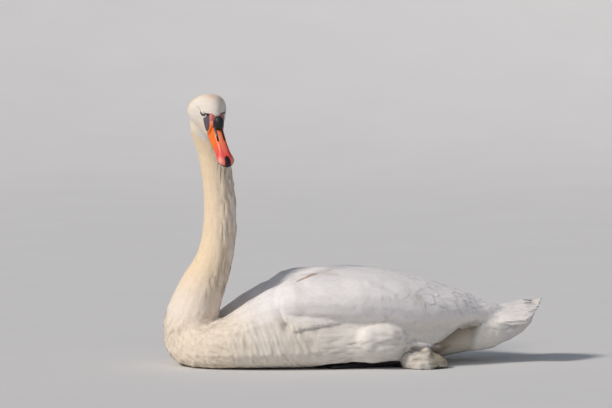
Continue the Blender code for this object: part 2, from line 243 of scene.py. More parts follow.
def rows_of(thing: bpy.types.Object, what: str) -> np.ndarray:
    """Reads a vector at each vertex of an object's mesh.

    Args:
        thing: the object.
        what: "co" for the places or "normal" for the outward directions.

    Returns:
        Rows of x, y and z.
    """
    flat = np.empty(len(thing.data.vertices) * 3, np.float32)
    thing.data.vertices.foreach_get(what, flat)
    return flat.reshape(-1, 3).astype(float)


def points_of(thing: bpy.types.Object) -> np.ndarray:
    """The places of an object's vertices."""
    return rows_of(thing, "co")


def normals_of(thing: bpy.types.Object) -> np.ndarray:
    """The outward directions at an object's vertices."""
    return rows_of(thing, "normal")


def triangles(thing: bpy.types.Object) -> int:
    """How many triangles an object's mesh makes."""
    return sum(len(p.vertices) - 2 for p in thing.data.polygons)


def move_points(thing: bpy.types.Object, points: np.ndarray) -> None:
    """Gives the vertices of an object's mesh new places."""
    thing.data.vertices.foreach_set("co", points.astype(np.float32).ravel())
    thing.data.update()


def paint(thing: bpy.types.Object, name: str, values: np.ndarray) -> None:
    """Stores a colour or a number at each vertex.

    Args:
        thing: the object.
        name: the attribute's name.
        values: rows of red, green and blue, or one number for each vertex.
    """
    if values.ndim == 2:
        layer = thing.data.color_attributes.new(name, "FLOAT_COLOR", "POINT")
        full = np.ones((len(values), 4), np.float32)
        full[:, :3] = values
        layer.data.foreach_set("color", full.ravel())
    else:
        layer = thing.data.attributes.new(name, "FLOAT", "POINT")
        layer.data.foreach_set("value", values.astype(np.float32))


def copy_of(name: str, *nodes: str) -> bpy.types.Object:
    """A new object made of copies of CAD nodes, with their loose triangles merged.

    Args:
        name: the new object's name.
        nodes: names of CAD nodes.

    Returns:
        The new object.
    """
    twins = []
    for node in nodes:
        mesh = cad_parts[node].data.copy()
        mesh.materials.clear()
        twin = bpy.data.objects.new(name, mesh)
        bpy.context.scene.collection.objects.link(twin)
        twins.append(twin)
    alone(twins[0])
    for twin in twins:
        twin.select_set(True)
    if len(twins) > 1:
        bpy.ops.object.join()
    thing = bpy.context.view_layer.objects.active
    thing.name = name
    thing.data.name = name
    bpy.ops.object.mode_set(mode="EDIT")
    bpy.ops.mesh.select_all(action="SELECT")
    bpy.ops.mesh.remove_doubles(threshold=1e-6)
    bpy.ops.mesh.normals_make_consistent(inside=False)
    bpy.ops.object.mode_set(mode="OBJECT")
    return thing


def settle(
    thing: bpy.types.Object, material: bpy.types.Material, slot: str, *nodes: str
) -> bpy.types.Object:
    """Dresses a finished piece, fixes it to the body and hides the CAD nodes it stands for.

    Args:
        thing: the piece.
        material: its finish.
        slot: not used.
        nodes: CAD nodes that it replaces.

    Returns:
        The same piece.
    """
    thing.data.materials.clear()
    thing.data.materials.append(material)
    thing.data.shade_smooth()
    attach(thing, "root")
    if nodes:
        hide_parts(*nodes)
    log.info("%s: %d triangles", thing.name, triangles(thing))
    return thing


# ---------------------------------------------------------------- the head's own axes
@dataclass(frozen=True)
class HeadAxes:
    """The head's own axes: x forward along the bill, y to the swan's left, z up, in millimetres.

    They start at the corner of the mouth, on the head's mid plane.
    """

    gape: tuple[float, float, float] = (-0.2699, -0.0491, 0.4374)
    turn: float = math.radians(-74.0)
    pitch: float = math.radians(40.5)
    roll: float = math.radians(5.5)

    def matrix(self) -> np.ndarray:
        """The rotation from the head's axes to the swan's."""
        turned = Matrix.Rotation(self.turn, 3, "Z") @ Matrix.Rotation(self.pitch, 3, "Y")
        return np.array(turned @ Matrix.Rotation(self.roll, 3, "X"))

    def local(self, points: np.ndarray) -> np.ndarray:
        """Places in the head's own axes, in millimetres, of points given in metres."""
        return (points - np.array(self.gape)) @ self.matrix() / MM

    def world(self, points: np.ndarray) -> np.ndarray:
        """Places given in the head's own axes, in metres on the swan."""
        return np.asarray(points, float) * MM @ self.matrix().T + np.array(self.gape)


AXES = HeadAxes()


# ---------------------------------------------------------------- lie of the plumage
@dataclass
class Lie:
    """Which way the feathers lie at any place: from the bill over the head, down the neck and to the tail."""

    neck: tuple = (
        (-0.2855, -0.010, 0.452), (-0.2715, 0.0, 0.410), (-0.2630, 0.0, 0.370), (-0.2565, 0.0, 0.325),
        (-0.2550, 0.0, 0.280), (-0.2585, 0.0, 0.235), (-0.2690, 0.0, 0.193), (-0.2865, 0.0, 0.154),
        (-0.3010, 0.0, 0.117), (-0.3090, 0.0, 0.088), (-0.3040, 0.0, 0.068), (-0.2850, 0.0, 0.060),
    )
    body: tuple = (
        (-0.250, 0.0, 0.066), (-0.200, 0.0, 0.072), (-0.100, 0.0, 0.075), (0.000, 0.0, 0.076),
        (0.100, 0.0, 0.078), (0.200, 0.0, 0.084), (0.280, 0.0, 0.095), (0.380, 0.0, 0.120),
    )
    spread: float = 0.024
    knot_gap: float = 0.010
    batch: int = 20000
    spine: np.ndarray = field(init=False)
    along: np.ndarray = field(init=False)

    def __post_init__(self) -> None:
        """Samples the line that the feathers follow."""
        head = AXES.world([(14, 0, 14), (-20, 0, 18), (-46, 0, 17), (-66, 0, 6)])
        knots = np.array([*head, *self.neck, *self.body], float)
        places = []
        for near, far in zip(knots, knots[1:]):
            count = max(int(np.linalg.norm(far - near) / self.knot_gap), 1)
            places += [near + (far - near) * k / count for k in range(count)]
        places = np.array(places)
        for _ in range(4):
            places[1:-1] = (places[:-2] + 2 * places[1:-1] + places[2:]) / 4
        self.spine = places
        self.along = unit(np.gradient(places, axis=0))

    def at(self, points: np.ndarray, normals: np.ndarray) -> np.ndarray:
        """The direction from root to tip of a feather rooted at each place.

        Args:
            points: places on the skin.
            normals: the skin's outward directions there.

        Returns:
            Unit directions along the skin.
        """
        way = np.empty_like(points)
        for start in range(0, len(points), self.batch):
            some = points[start : start + self.batch]
            apart = ((some[:, None, :] - self.spine[None]) ** 2).sum(-1)
            share = np.exp(-(apart - apart.min(1, keepdims=True)) / (2 * self.spread**2))
            way[start : start + self.batch] = unit(share @ self.along)
        x, y, z = points.T
        side = np.abs(y)
        # away from the bill on the face
        face = points - AXES.world([(12, 0, 12)])
        way += unit(face) * (2.2 * bell(np.linalg.norm(face, axis=1), 0.042))[:, None]
        # the breast's sides hang, and the flank feathers droop a little
        hang = 1.5 * bell(x + 0.205, 0.075) * step(0.045, 0.10, side) * step(0.13, 0.09, z)
        droop = 0.22 * span(x, (-0.12, 0.02), (0.16, 0.24)) * step(0.05, 0.11, side)
        # over the back of the folded wings they run down towards the tail
        fall = 0.55 * span(x, (0.02, 0.13), (0.22, 0.30)) * step(0.010, 0.045, side) * step(0.085, 0.105, z)
        way[:, 2] -= hang + droop + fall
        # the tail feathers spread like a fan
        way[:, 1] += 1.0 * step(0.24, 0.29, x) * y / np.maximum(x - 0.13, 0.05)
        way -= normals * (way * normals).sum(1, keepdims=True)
        return unit(way)


# ---------------------------------------------------------------- relief of the plumage
@dataclass(frozen=True)
class Relief:
    """Furrows, folds and ridges that the plumage makes over the body, in metres.

    A line is pairs of x and z, and a wave is its height and its width.
    """

    wing_edge: tuple = (
        (-0.158, 0.116), (-0.148, 0.095), (-0.132, 0.0735), (-0.112, 0.0790),
        (-0.085, 0.0835), (-0.050, 0.0880), (-0.020, 0.0950), (0.005, 0.1050),
    )
    wing_tip: tuple = ((0.092, 0.0465), (0.120, 0.0420), (0.149, 0.0365))
    crease: tuple = ((0.082, 0.100), (0.100, 0.094), (0.108, 0.082))
    overhang: tuple = (
        (0.124, 0.0395), (0.152, 0.0480), (0.172, 0.0620), (0.195, 0.0770), (0.236, 0.0865), (0.280, 0.0915),
    )
    crest: tuple = ((-0.121, 0.1650), (-0.110, 0.1695), (-0.095, 0.1745), (-0.072, 0.1785))
    fold: tuple = ((0.008, 0.1600), (0.030, 0.1520), (0.058, 0.1390))
    furrow: tuple[float, float] = (0.0030, 0.0105)
    strand: tuple[float, float] = (0.0016, 0.0040)
    scallop: tuple[float, float] = (0.0021, 0.0052)
    tall_wave: tuple[float, float] = (0.0020, 0.0062)
    lock: tuple[float, float] = (0.0024, 0.0058)
    fluff: tuple[float, float] = (0.0026, 0.0130)
    fine_fluff: tuple[float, float] = (0.0014, 0.0055)
    billow: tuple[float, float] = (0.0026, 0.042)
    small_billow: tuple[float, float] = (0.0010, 0.018)
    vane_edge: tuple[float, float] = (0.0013, 0.0050)
    mound: float = 0.0055
    vent: float = 0.0040
    hollow: float = 0.0140
    lip: float = 0.0030
    lobe: float = 0.0036
    lobe_groove: float = 0.0012
    armpit: float = 0.0060
    fold_ridge: float = 0.0020
    tip_ridge: float = 0.0070
    tip_groove: float = 0.0055
    crease_depth: float = 0.0024
    coverts: float = 0.0022
    notch: float = 0.0024

    def wave(self, points: np.ndarray, wave: tuple[float, float], seed: int, share: np.ndarray) -> np.ndarray:
        """Waves of one height and width, by their share at each place."""
        return share * wave[0] * ripple(points, wave[1], seed, share > 0)

    def neck(self, points: np.ndarray) -> np.ndarray:
        """Wandering furrows down the sides and nape of the neck.

        Args:
            points: places on the swan.

        Returns:
            Heights in metres, above 0 outwards.
        """
        x, y, z = points.T
        spine = np.array(LIE.neck)[::-1]
        back = (x - np.interp(z, spine[3:, 2], spine[3:, 0])) / 0.040
        share = (0.12 + 0.88 * step(-0.25, 0.45, back)) * span(z, (0.105, 0.15), (0.40, 0.455))
        share = share * step(-0.185, -0.205, x)
        near = share > 0
        wander = 0.0035 * ripple(points, 0.022, 3, near)
        stretched = np.stack([x + wander, y + wander, z * 0.20], 1)
        deep = np.minimum(np.abs(ripple(stretched, self.furrow[1], 5, near)) * 3.2, 1.0)
        fine = self.strand[0] * ripple(stretched, self.strand[1], 6, near)
        return share * (self.furrow[0] * deep - 0.0020 + fine)

    def breast(self, points: np.ndarray) -> np.ndarray:
        """Small scallops under the neck and standing waves behind them.

        Args:
            points: places on the swan.

        Returns:
            Heights in metres, above 0 outwards.
        """
        x, y, z = points.T
        front = step(-0.225, -0.260, x) * step(0.125, 0.085, z)
        behind = span(x, (-0.262, -0.235), (-0.110, -0.060)) * step(0.105, 0.080, z)
        return self.wave(np.stack([x * 0.55, y * 0.55, z], 1), self.scallop, 7, front) + self.wave(
            np.stack([x + 0.25 * z, y, z * 0.22], 1), self.tall_wave, 8, behind
        )

    def flank(self, points: np.ndarray) -> np.ndarray:
        """Level locks low on the flank and thigh, fluff on the lower leg and under the tail.

        Args:
            points: places on the swan.

        Returns:
            Heights in metres, above 0 outwards.
        """
        x, y, z = points.T
        side = np.abs(y)
        low = span(x, (-0.110, -0.060), (0.100, 0.125)) * step(0.082, 0.050, z) * (side > 0.05)
        made = self.wave(np.stack([x * 0.28, y, z - 0.10 * x], 1), self.lock, 9, low)
        leg = span(x, (0.070, 0.090), (0.165, 0.185)) * step(0.048, 0.034, z) * (side > 0.07)
        made += self.wave(points, self.fluff, 10, leg) + self.wave(points, self.fine_fluff, 15, leg)
        # below and ahead of its mound the thigh's down runs on
        run = span(x, (-0.025, 0.015), (0.082, 0.100)) * step(0.050, 0.036, z) * step(0.004, 0.024, z)
        run += span(x, (-0.048, 0.006), (0.008, 0.026)) * span(z, (0.034, 0.052), (0.064, 0.086))
        made += self.mound * np.minimum(run, 1.0) * (side > 0.09)
        vent = span(x, (0.2165, 0.2235), (0.262, 0.285)) * span(z, (0.018, 0.030), (0.070, 0.084))
        made += vent * self.vent + self.wave(np.stack([x, y, z * 0.25], 1), self.tall_wave, 11, vent)
        # the rear of the wing stands over the body beneath it
        under, over = self.eaves(points)
        return made - self.hollow * under + self.lip * over

    def eaves(self, points: np.ndarray) -> tuple[np.ndarray, np.ndarray]:
        """How far each place lies in the hollow under the rear edge of the wing, or on its lip.

        Args:
            points: places on the swan.

        Returns:
            Shares of the hollow and of the lip.
        """
        x, y, z = points.T
        edge = height_on(self.overhang, x)
        far = from_line(x, z, self.overhang)
        rear = span(x, (0.118, 0.140), (0.270, 0.300)) * (np.abs(y) > 0.02)
        below = step(0.0012, -0.0022, z - edge) * step(0.232, 0.215, x + 0.25 * (0.05 - z))
        over = (1 - below) * (z > edge - 0.002) * np.exp(-far / 0.010)
        return rear * below * np.exp(-far / 0.026), rear * over

    def wing(self, points: np.ndarray) -> np.ndarray:
        """Soft billows, the lobe's lower edge with a hollow before it, and slanting feather edges behind.

        Args:
            points: places on the swan.

        Returns:
            Heights in metres, above 0 outwards.
        """
        x, y, z = points.T
        outer = step(0.055, 0.080, np.abs(y))
        high = step(0.075, 0.095, z) * span(x, (-0.19, -0.15), (0.26, 0.29))
        wide = points * (0.7, 1, 1)
        made = self.wave(wide, self.billow, 12, high) + self.wave(wide, self.small_billow, 13, high)
        far = from_line(x, z, self.wing_edge)
        above = step(-0.0015, 0.0015, z - height_on(self.wing_edge, x)) * step(-0.165, -0.145, x)
        fade = step(0.015, -0.075, x) * outer
        made += fade * above * self.lobe * np.exp(-far / 0.034)
        made -= fade * (1 - above) * self.lobe_groove * np.exp(-far / 0.006)
        made -= outer * self.armpit * bell(x + 0.1455, 0.0075) * bell(z - 0.0840, 0.0085)
        slant = span(x, (0.085, 0.125), (0.235, 0.270)) * step(0.090, 0.112, z)
        lines = np.stack([0.80 * x + 0.60 * z, 0.3 * y, (0.60 * x - 0.80 * z) * 0.16], 1)
        made += self.wave(lines, self.vane_edge, 14, slant)
        return made + self.fold_ridge * bell(from_line(x, z, self.fold), 0.0042) * (np.abs(y) > 0.03)

    def ridges(self, points: np.ndarray) -> np.ndarray:
        """A long wing feather's tip over the thigh, the crease behind it and the end of the tail's coverts.

        Args:
            points: places on the swan.

        Returns:
            Heights in metres, above 0 outwards.
        """
        x, y, z = points.T
        outer = np.abs(y) > 0.055
        made = outer * self.tip_ridge * bell(from_line(x, z, self.wing_tip), 0.0030)
        made -= outer * self.tip_groove * bell(from_line(x, z + 0.0078, self.wing_tip[:2]), 0.0034)
        made -= outer * self.crease_depth * bell(from_line(x, z, self.crease), 0.0036)
        covered = span(x, (0.255, 0.280), (0.326, 0.336)) * (z > 0.085)
        parted = bell(x - 0.3415, 0.0045) * (z > 0.098) * (np.abs(y) < 0.035)
        return made + self.coverts * covered - self.notch * parted

    def at(self, points: np.ndarray) -> np.ndarray:
        """The relief at each place, as a height in metres, above 0 outwards."""
        parts = (self.neck, self.breast, self.flank, self.wing, self.ridges)
        return sum(part(points) for part in parts)


RELIEF = Relief()


# ---------------------------------------------------------------- colour of the plumage
@dataclass(frozen=True)
class PlumageColours:
    """Colours of the feathers by place: cream on head, neck and breast, and cooler white on the body, with
    painted shade where shade falls.
    """

    wing: str = "E9E5E4"
    flank: str = "E7E2DB"
    cream: str = "E9D3B4"
    crown: str = "E9E0D5"
    rust: str = "D2A57C"
    chin: str = "DDE0E2"
    stain: str = "9C6E3C"
    # a greyer white, painted where shade falls
    painted_shade: str = "A79F8E"
    tail: str = "D3CFCD"
    # darkening of the furrows: painted shade with a warm tint of dust
    dust_and_shade: tuple[float, float, float] = (0.15, 0.18, 0.22)

    def at(self, points: np.ndarray, furrow_dust_and_shade: bool = True) -> np.ndarray:
        """The colour at each place.

        Args:
            points: places on the swan.
            furrow_dust_and_shade: whether the furrows are darker, with painted shade and a warm tint of dust.

        Returns:
            Rows of linear red, green and blue.
        """
        x, y, z = points.T
        own = AXES.local(points)
        ahead, left, up = own.T
        rust = bell(ahead + 46, 15) * bell(left - 2, 17) * step(38, 50, up)
        chin = step(4, -6, up) * span(ahead, (-36, -20), (8, 14)) * step(-30, -18, up)
        crest = bell(from_line(x, z, RELIEF.crest), 0.0011) * step(-0.068, -0.078, y)
        # painted shade in a soft dip on the near wing
        painted_shade = bell(x - 0.104, 0.010) * bell(z - 0.131, 0.009) * (y < -0.02)
        under, _ = RELIEF.eaves(points)
        leg = step(0.042, 0.030, z) * span(x, (0.060, 0.078), (0.165, 0.185)) * (np.abs(y) > 0.07)
        tip = bell(from_line(x, z, RELIEF.wing_tip), 0.0036) * (np.abs(y) > 0.055)
        colour = layered(
            np.tile(linear(self.wing), (len(points), 1)),
            (self.flank, step(0.105, 0.075, z) * step(0.29, 0.26, x)),
            (self.cream, 0.18 * step(0.02, -0.16, x) * step(0.14, 0.08, z)),
            (self.cream, step(-0.17, -0.29, x) * (0.42 + 0.58 * step(0.09, 0.20, z))),
            (self.crown, step(0.430, 0.470, z) * step(-75, -50, ahead)),
            (self.rust, 0.42 * rust),
            # painted bluish shade under the chin
            (self.chin, 0.7 * chin),
            (self.stain, 0.85 * crest),
            (self.painted_shade, 0.45 * painted_shade),
            # painted shade under the rear edge of the wing and on the fluff of the lower leg
            (self.painted_shade, np.minimum(1.4 * under, 0.9) + 0.45 * leg),
            # painted shade: the tail a little greyer than the body
            (self.tail, 0.8 * step(0.262, 0.292, x)),
            (self.wing, tip),
        )
        if not furrow_dust_and_shade:
            return colour
        # painted shade darkens the furrows, with a warm tint of dust
        deep = np.clip(-RELIEF.at(points) / 0.0012, 0, 1)[:, None]
        return colour * (1 - deep * np.array(self.dust_and_shade))


LIE = Lie()
COLOURS = PlumageColours()


# ---------------------------------------------------------------- finishes
# nearly all that a noise texture gives lies between these
NOISE_RANGE = {"From Min": 0.3, "From Max": 0.7}


@dataclass(frozen=True)
class Mottled:
    """What feather, skin, horn and eye share: the piece's own colours, in lighter and darker patches."""

    name: str = "keratin"
    mottle_mm: float = 7.143
    detail: float = 3.0
    shades: tuple[float, float] = (0.955, 1.03)

    def start(self) -> tuple[bpy.types.Material, bpy.types.NodeTree, bpy.types.Node, bpy.types.NodeSocket]:
        """Starts the finish with its mottled colour.

        Returns:
            The material, its node tree, its shader and the mottling.
        """
        made, tree, shader = blank(self.name)
        tint = add(tree, "ShaderNodeAttribute", attribute_name="tint")
        place = add(tree, "ShaderNodeTexCoord").outputs["Object"]
        grown = {"Vector": place, "Scale": 1 / (self.mottle_mm * MM), "Detail": self.detail}
        cloud = add(tree, "ShaderNodeTexNoise", grown).outputs["Fac"]
        low, high = self.shades
        limits = {"Value": cloud, **NOISE_RANGE, "To Min": low, "To Max": high}
        shade = add(tree, "ShaderNodeMapRange", limits)
        product = {0: tint.outputs["Color"], 1: shade.outputs[0]}
        colour = add(tree, "ShaderNodeVectorMath", product, operation="MULTIPLY")
        fill(tree, shader, {"Base Color": colour.outputs[0]})
        return made, tree, shader, cloud


@dataclass(frozen=True)
class FeatherVane(Mottled):
    """Feather keratin as it grows: matt, with fine barbs slanting from the shaft, that light slides along."""

    name: str = "feather keratin, barbed vane"
    roughness: float = 0.78
    sheen: float = 0.12
    barb_mm: float = 1.3
    relief: float = 0.00018

    def material(self) -> bpy.types.Material:
        """Builds the finish. Real barbs are 0.3 mm apart; these are drawn coarser so that they show.

        Returns:
            The material.
        """
        made, tree, shader, _ = self.start()
        vane = add(tree, "ShaderNodeUVMap", uv_map="vane")
        parts = add(tree, "ShaderNodeSeparateXYZ", {0: vane.outputs[0]})
        across = add(tree, "ShaderNodeMath", {0: parts.outputs["X"]}, operation="ABSOLUTE")
        along = {0: parts.outputs["Y"], 1: across.outputs[0]}
        slant = add(tree, "ShaderNodeMath", along, operation="SUBTRACT")
        turns = {0: slant.outputs[0], 1: 2 * math.pi / self.barb_mm}
        phase = add(tree, "ShaderNodeMath", turns, operation="MULTIPLY")
        barb = add(tree, "ShaderNodeMath", {0: phase.outputs[0]}, operation="SINE")
        bump = add(
            tree, "ShaderNodeBump", {"Height": barb.outputs[0], "Strength": 0.22, "Distance": self.relief}
        )
        fill(tree, shader, {
            "Normal": bump.outputs["Normal"], "Roughness": self.roughness, "Sheen Weight": self.sheen,
            "Sheen Roughness": 0.5, "Specular IOR Level": 0.25,
        })
        return made


@dataclass(frozen=True)
class DownySkin(Mottled):
    """Bird's skin: bare and wrinkled on the face, where it has a dull shine, and matt where it grows down."""

    name: str = "bird skin with down"
    mottle_mm: float = 2.381
    detail: float = 4.0
    shades: tuple[float, float] = (0.90, 1.05)

    def material(self) -> bpy.types.Material:
        """Builds the finish.

        Returns:
            The material.
        """
        made, tree, shader, cloud = self.start()
        bare = add(tree, "ShaderNodeAttribute", attribute_name="bare")
        matt, dull = 0.85, 0.48
        shine = {"Value": bare.outputs["Fac"], "To Min": matt, "To Max": dull}
        gloss = add(tree, "ShaderNodeMapRange", shine)
        bump = add(tree, "ShaderNodeBump", {"Height": cloud, "Strength": 0.5, "Distance": 0.0004})
        fill(tree, shader, {"Roughness": gloss.outputs[0], "Normal": bump.outputs["Normal"]})
        return made


@dataclass(frozen=True)
class BillHorn(Mottled):
    """Horn over bone, as on a duck's or a swan's bill: smooth and satin, faintly mottled."""

    name: str = "bill horn, satin"
    mottle_mm: float = 3.846
    detail: float = 5.0
    shades: tuple[float, float] = (0.94, 1.06)
    roughness: tuple[float, float] = (0.36, 0.50)
    pore_mm: float = 1.111

    def material(self) -> bpy.types.Material:
        """Builds the finish.

        Returns:
            The material.
        """
        made, tree, shader, cloud = self.start()
        place = add(tree, "ShaderNodeTexCoord").outputs["Object"]
        scale = 1 / (self.pore_mm * MM)
        fine = add(tree, "ShaderNodeTexNoise", {"Vector": place, "Scale": scale, "Detail": 3.0})
        pores = {"Height": fine.outputs["Fac"], "Strength": 0.25, "Distance": 0.0002}
        bump = add(tree, "ShaderNodeBump", pores)
        low, high = self.roughness
        limits = {"Value": cloud, **NOISE_RANGE, "To Min": low, "To Max": high}
        gloss = add(tree, "ShaderNodeMapRange", limits)
        fill(tree, shader, {"Roughness": gloss.outputs[0], "Normal": bump.outputs["Normal"]})
        return made


@dataclass(frozen=True)
class FootSkin:
    """Grey-black webbed foot skin: dry scales over the toes, which give it a broken, leathery shine."""

    name: str = "scaled foot skin"
    dark: str = "1B1A1C"
    pale: str = "3A383A"
    scale_mm: float = 2.2

    def material(self) -> bpy.types.Material:
        """Builds the finish.

        Returns:
            The material.
        """
        made, tree, shader = blank(self.name)
        place = add(tree, "ShaderNodeTexCoord")
        size = {"Vector": place.outputs["Object"], "Scale": 1 / (self.scale_mm * MM)}
        scales = add(tree, "ShaderNodeTexVoronoi", size, feature="DISTANCE_TO_EDGE")
        groove = {"Value": scales.outputs["Distance"], "From Max": 0.12}
        edge = add(tree, "ShaderNodeMapRange", groove).outputs[0]
        ramp = add(tree, "ShaderNodeValToRGB", {0: edge})
        ramp.color_ramp.elements[0].color = (*linear(self.dark) * 0.6, 1)
        ramp.color_ramp.elements[1].color = (*linear(self.pale), 1)
        bump = add(tree, "ShaderNodeBump", {"Height": edge, "Strength": 0.7, "Distance": 0.0005})
        gloss = add(tree, "ShaderNodeMapRange", {"Value": edge, "To Min": 0.75, "To Max": 0.45})
        fill(tree, shader, {
            "Base Color": ramp.outputs[0], "Roughness": gloss.outputs[0], "Normal": bump.outputs["Normal"],
        })
        return made


@dataclass(frozen=True)
class WetEye(Mottled):
    """A bird's eye under its tear film: dark brown iris round a black pupil, with a mirror-like shine."""

    name: str = "eye under a tear film"
    mottle_mm: float = 0.5556
    detail: float = 4.0
    shades: tuple[float, float] = (0.7, 1.3)

    def material(self) -> bpy.types.Material:
        """Builds the finish.

        Returns:
            The material.
        """
        made, tree, shader, _ = self.start()
        fill(tree, shader, {"Roughness": 0.06, "IOR": 1.38, "Coat Weight": 0.6, "Coat Roughness": 0.03})
        return made


# ---------------------------------------------------------------- skin
class Side(Enum):
    """The swan's two sides, as the sign of y in the head's axes."""

    LEFT = 1
    RIGHT = -1


@dataclass
class Face:
    """Layout of the face in the head's own axes, in millimetres."""

    eye: tuple[float, float, float] = (-27.0, 18.2, 32.5)
    eye_radius: float = 6.2
    slit: tuple[float, float] = (6.3, 1.95)
    slit_tilt: float = math.radians(6)
    lore: tuple = (
        (-19.1, 29.2), (-18.4, 25.7), (-15.0, 19.9), (-10.2, 13.9), (-6.1, 9.4), (-2.2, 6.8), (0.7, 10.8),
        (1.7, 16.9), (0.2, 22.9), (-3.6, 29.5), (-8.5, 35.1), (-11.1, 37.4), (-14.5, 35.6), (-16.5, 33.0),
    )
    pink: tuple = (
        (-16.0, 40.0), (-12.4, 42.3), (-9.5, 44.3), (-6.3, 45.0), (4.0, 46.5), (12.0, 40.0), (12.0, -2.0),
        (-0.5, -2.0), (-0.5, 6.0), (0.5, 22.0), (-3.6, 29.5), (-8.5, 35.1), (-11.1, 36.9),
    )
    band: tuple = ((-21.5, 36.6), (-17.4, 39.3), (-13.0, 41.0), (-10.5, 38.5), (-15.0, 34.6), (-20.5, 33.4))
    brow: tuple = ((-34.0, 38.0), (-25.0, 39.6), (-16.0, 42.0))
    wrinkle: tuple = ((-7.5, 42.0), (-4.0, 38.0), (-3.0, 33.0))

    def centre(self, side: Side) -> np.ndarray:
        """The middle of the eye on one side."""
        return np.array(self.eye) * (1, side.value, 1)

    def inside(self, own: np.ndarray, outline: tuple) -> np.ndarray:
        """How deep each place lies inside an outline drawn on the side of the head.

        Args:
            own: places in the head's axes.
            outline: corners as pairs of x and z.

        Returns:
            Signed distances in millimetres, above 0 inside.
        """
        corners = np.array(outline, float)
        flat = own[:, [0, 2]]
        best = np.full(len(flat), FAR)
        odd = np.zeros(len(flat), bool)
        for a, b in zip(corners, np.roll(corners, -1, axis=0)):
            along = b - a
            t = np.clip(((flat - a) @ along) / (along @ along), 0, 1)
            best = np.minimum(best, np.linalg.norm(flat - a - t[:, None] * along, axis=1))
            crosses = (a[1] > flat[:, 1]) != (b[1] > flat[:, 1])
            at = a[0] + (flat[:, 1] - a[1]) / (b[1] - a[1] + 1e-12) * (b[0] - a[0])
            odd ^= crosses & (flat[:, 0] < at)
        return np.where(odd, best, -best)

    def bare_front(self, own: np.ndarray) -> np.ndarray:
        """How deep each place lies in the bare skin round the bill's root, which narrows over the knob.

        Args:
            own: places in the head's axes.

        Returns:
            Signed distances in millimetres, above 0 inside.
        """
        lower = np.zeros_like(own)
        lower[:, 2] = 3.6 * step(9.0, 4.0, np.abs(own[:, 1]))
        return self.inside(own + lower, self.pink)

    def slit_reach(self, own: np.ndarray) -> np.ndarray:
        """How far each place is from the middle of the nearer eye's opening.

        Args:
            own: places in the head's axes.

        Returns:
            Shares of the opening's half width, 1 at its rim.
        """
        ahead, up = own[:, 0] - self.eye[0], own[:, 2] - self.eye[2]
        c, s = math.cos(self.slit_tilt), math.sin(self.slit_tilt)
        reach = np.hypot((ahead * c - up * s) / self.slit[0], (ahead * s + up * c) / self.slit[1])
        return np.where(np.abs(own[:, 1]) > 5, reach, FAR)

    def bare(self, own: np.ndarray) -> np.ndarray:
        """How bare the face is at each place.

        Args:
            own: places in the head's axes.

        Returns:
            Shares from 0 under feathers to 1.
        """
        side = np.abs(own[:, 1])
        lore = step(-0.6, 0.6, self.inside(own, self.lore)) * (side > 8)
        pink = step(-0.6, 0.6, self.bare_front(own))
        band = step(-0.5, 0.5, self.inside(own, self.band)) * (side > 9)
        lid = step(1.42, 1.28, self.slit_reach(own))
        return np.maximum.reduce([lore, pink, band, lid])


FACE = Face()


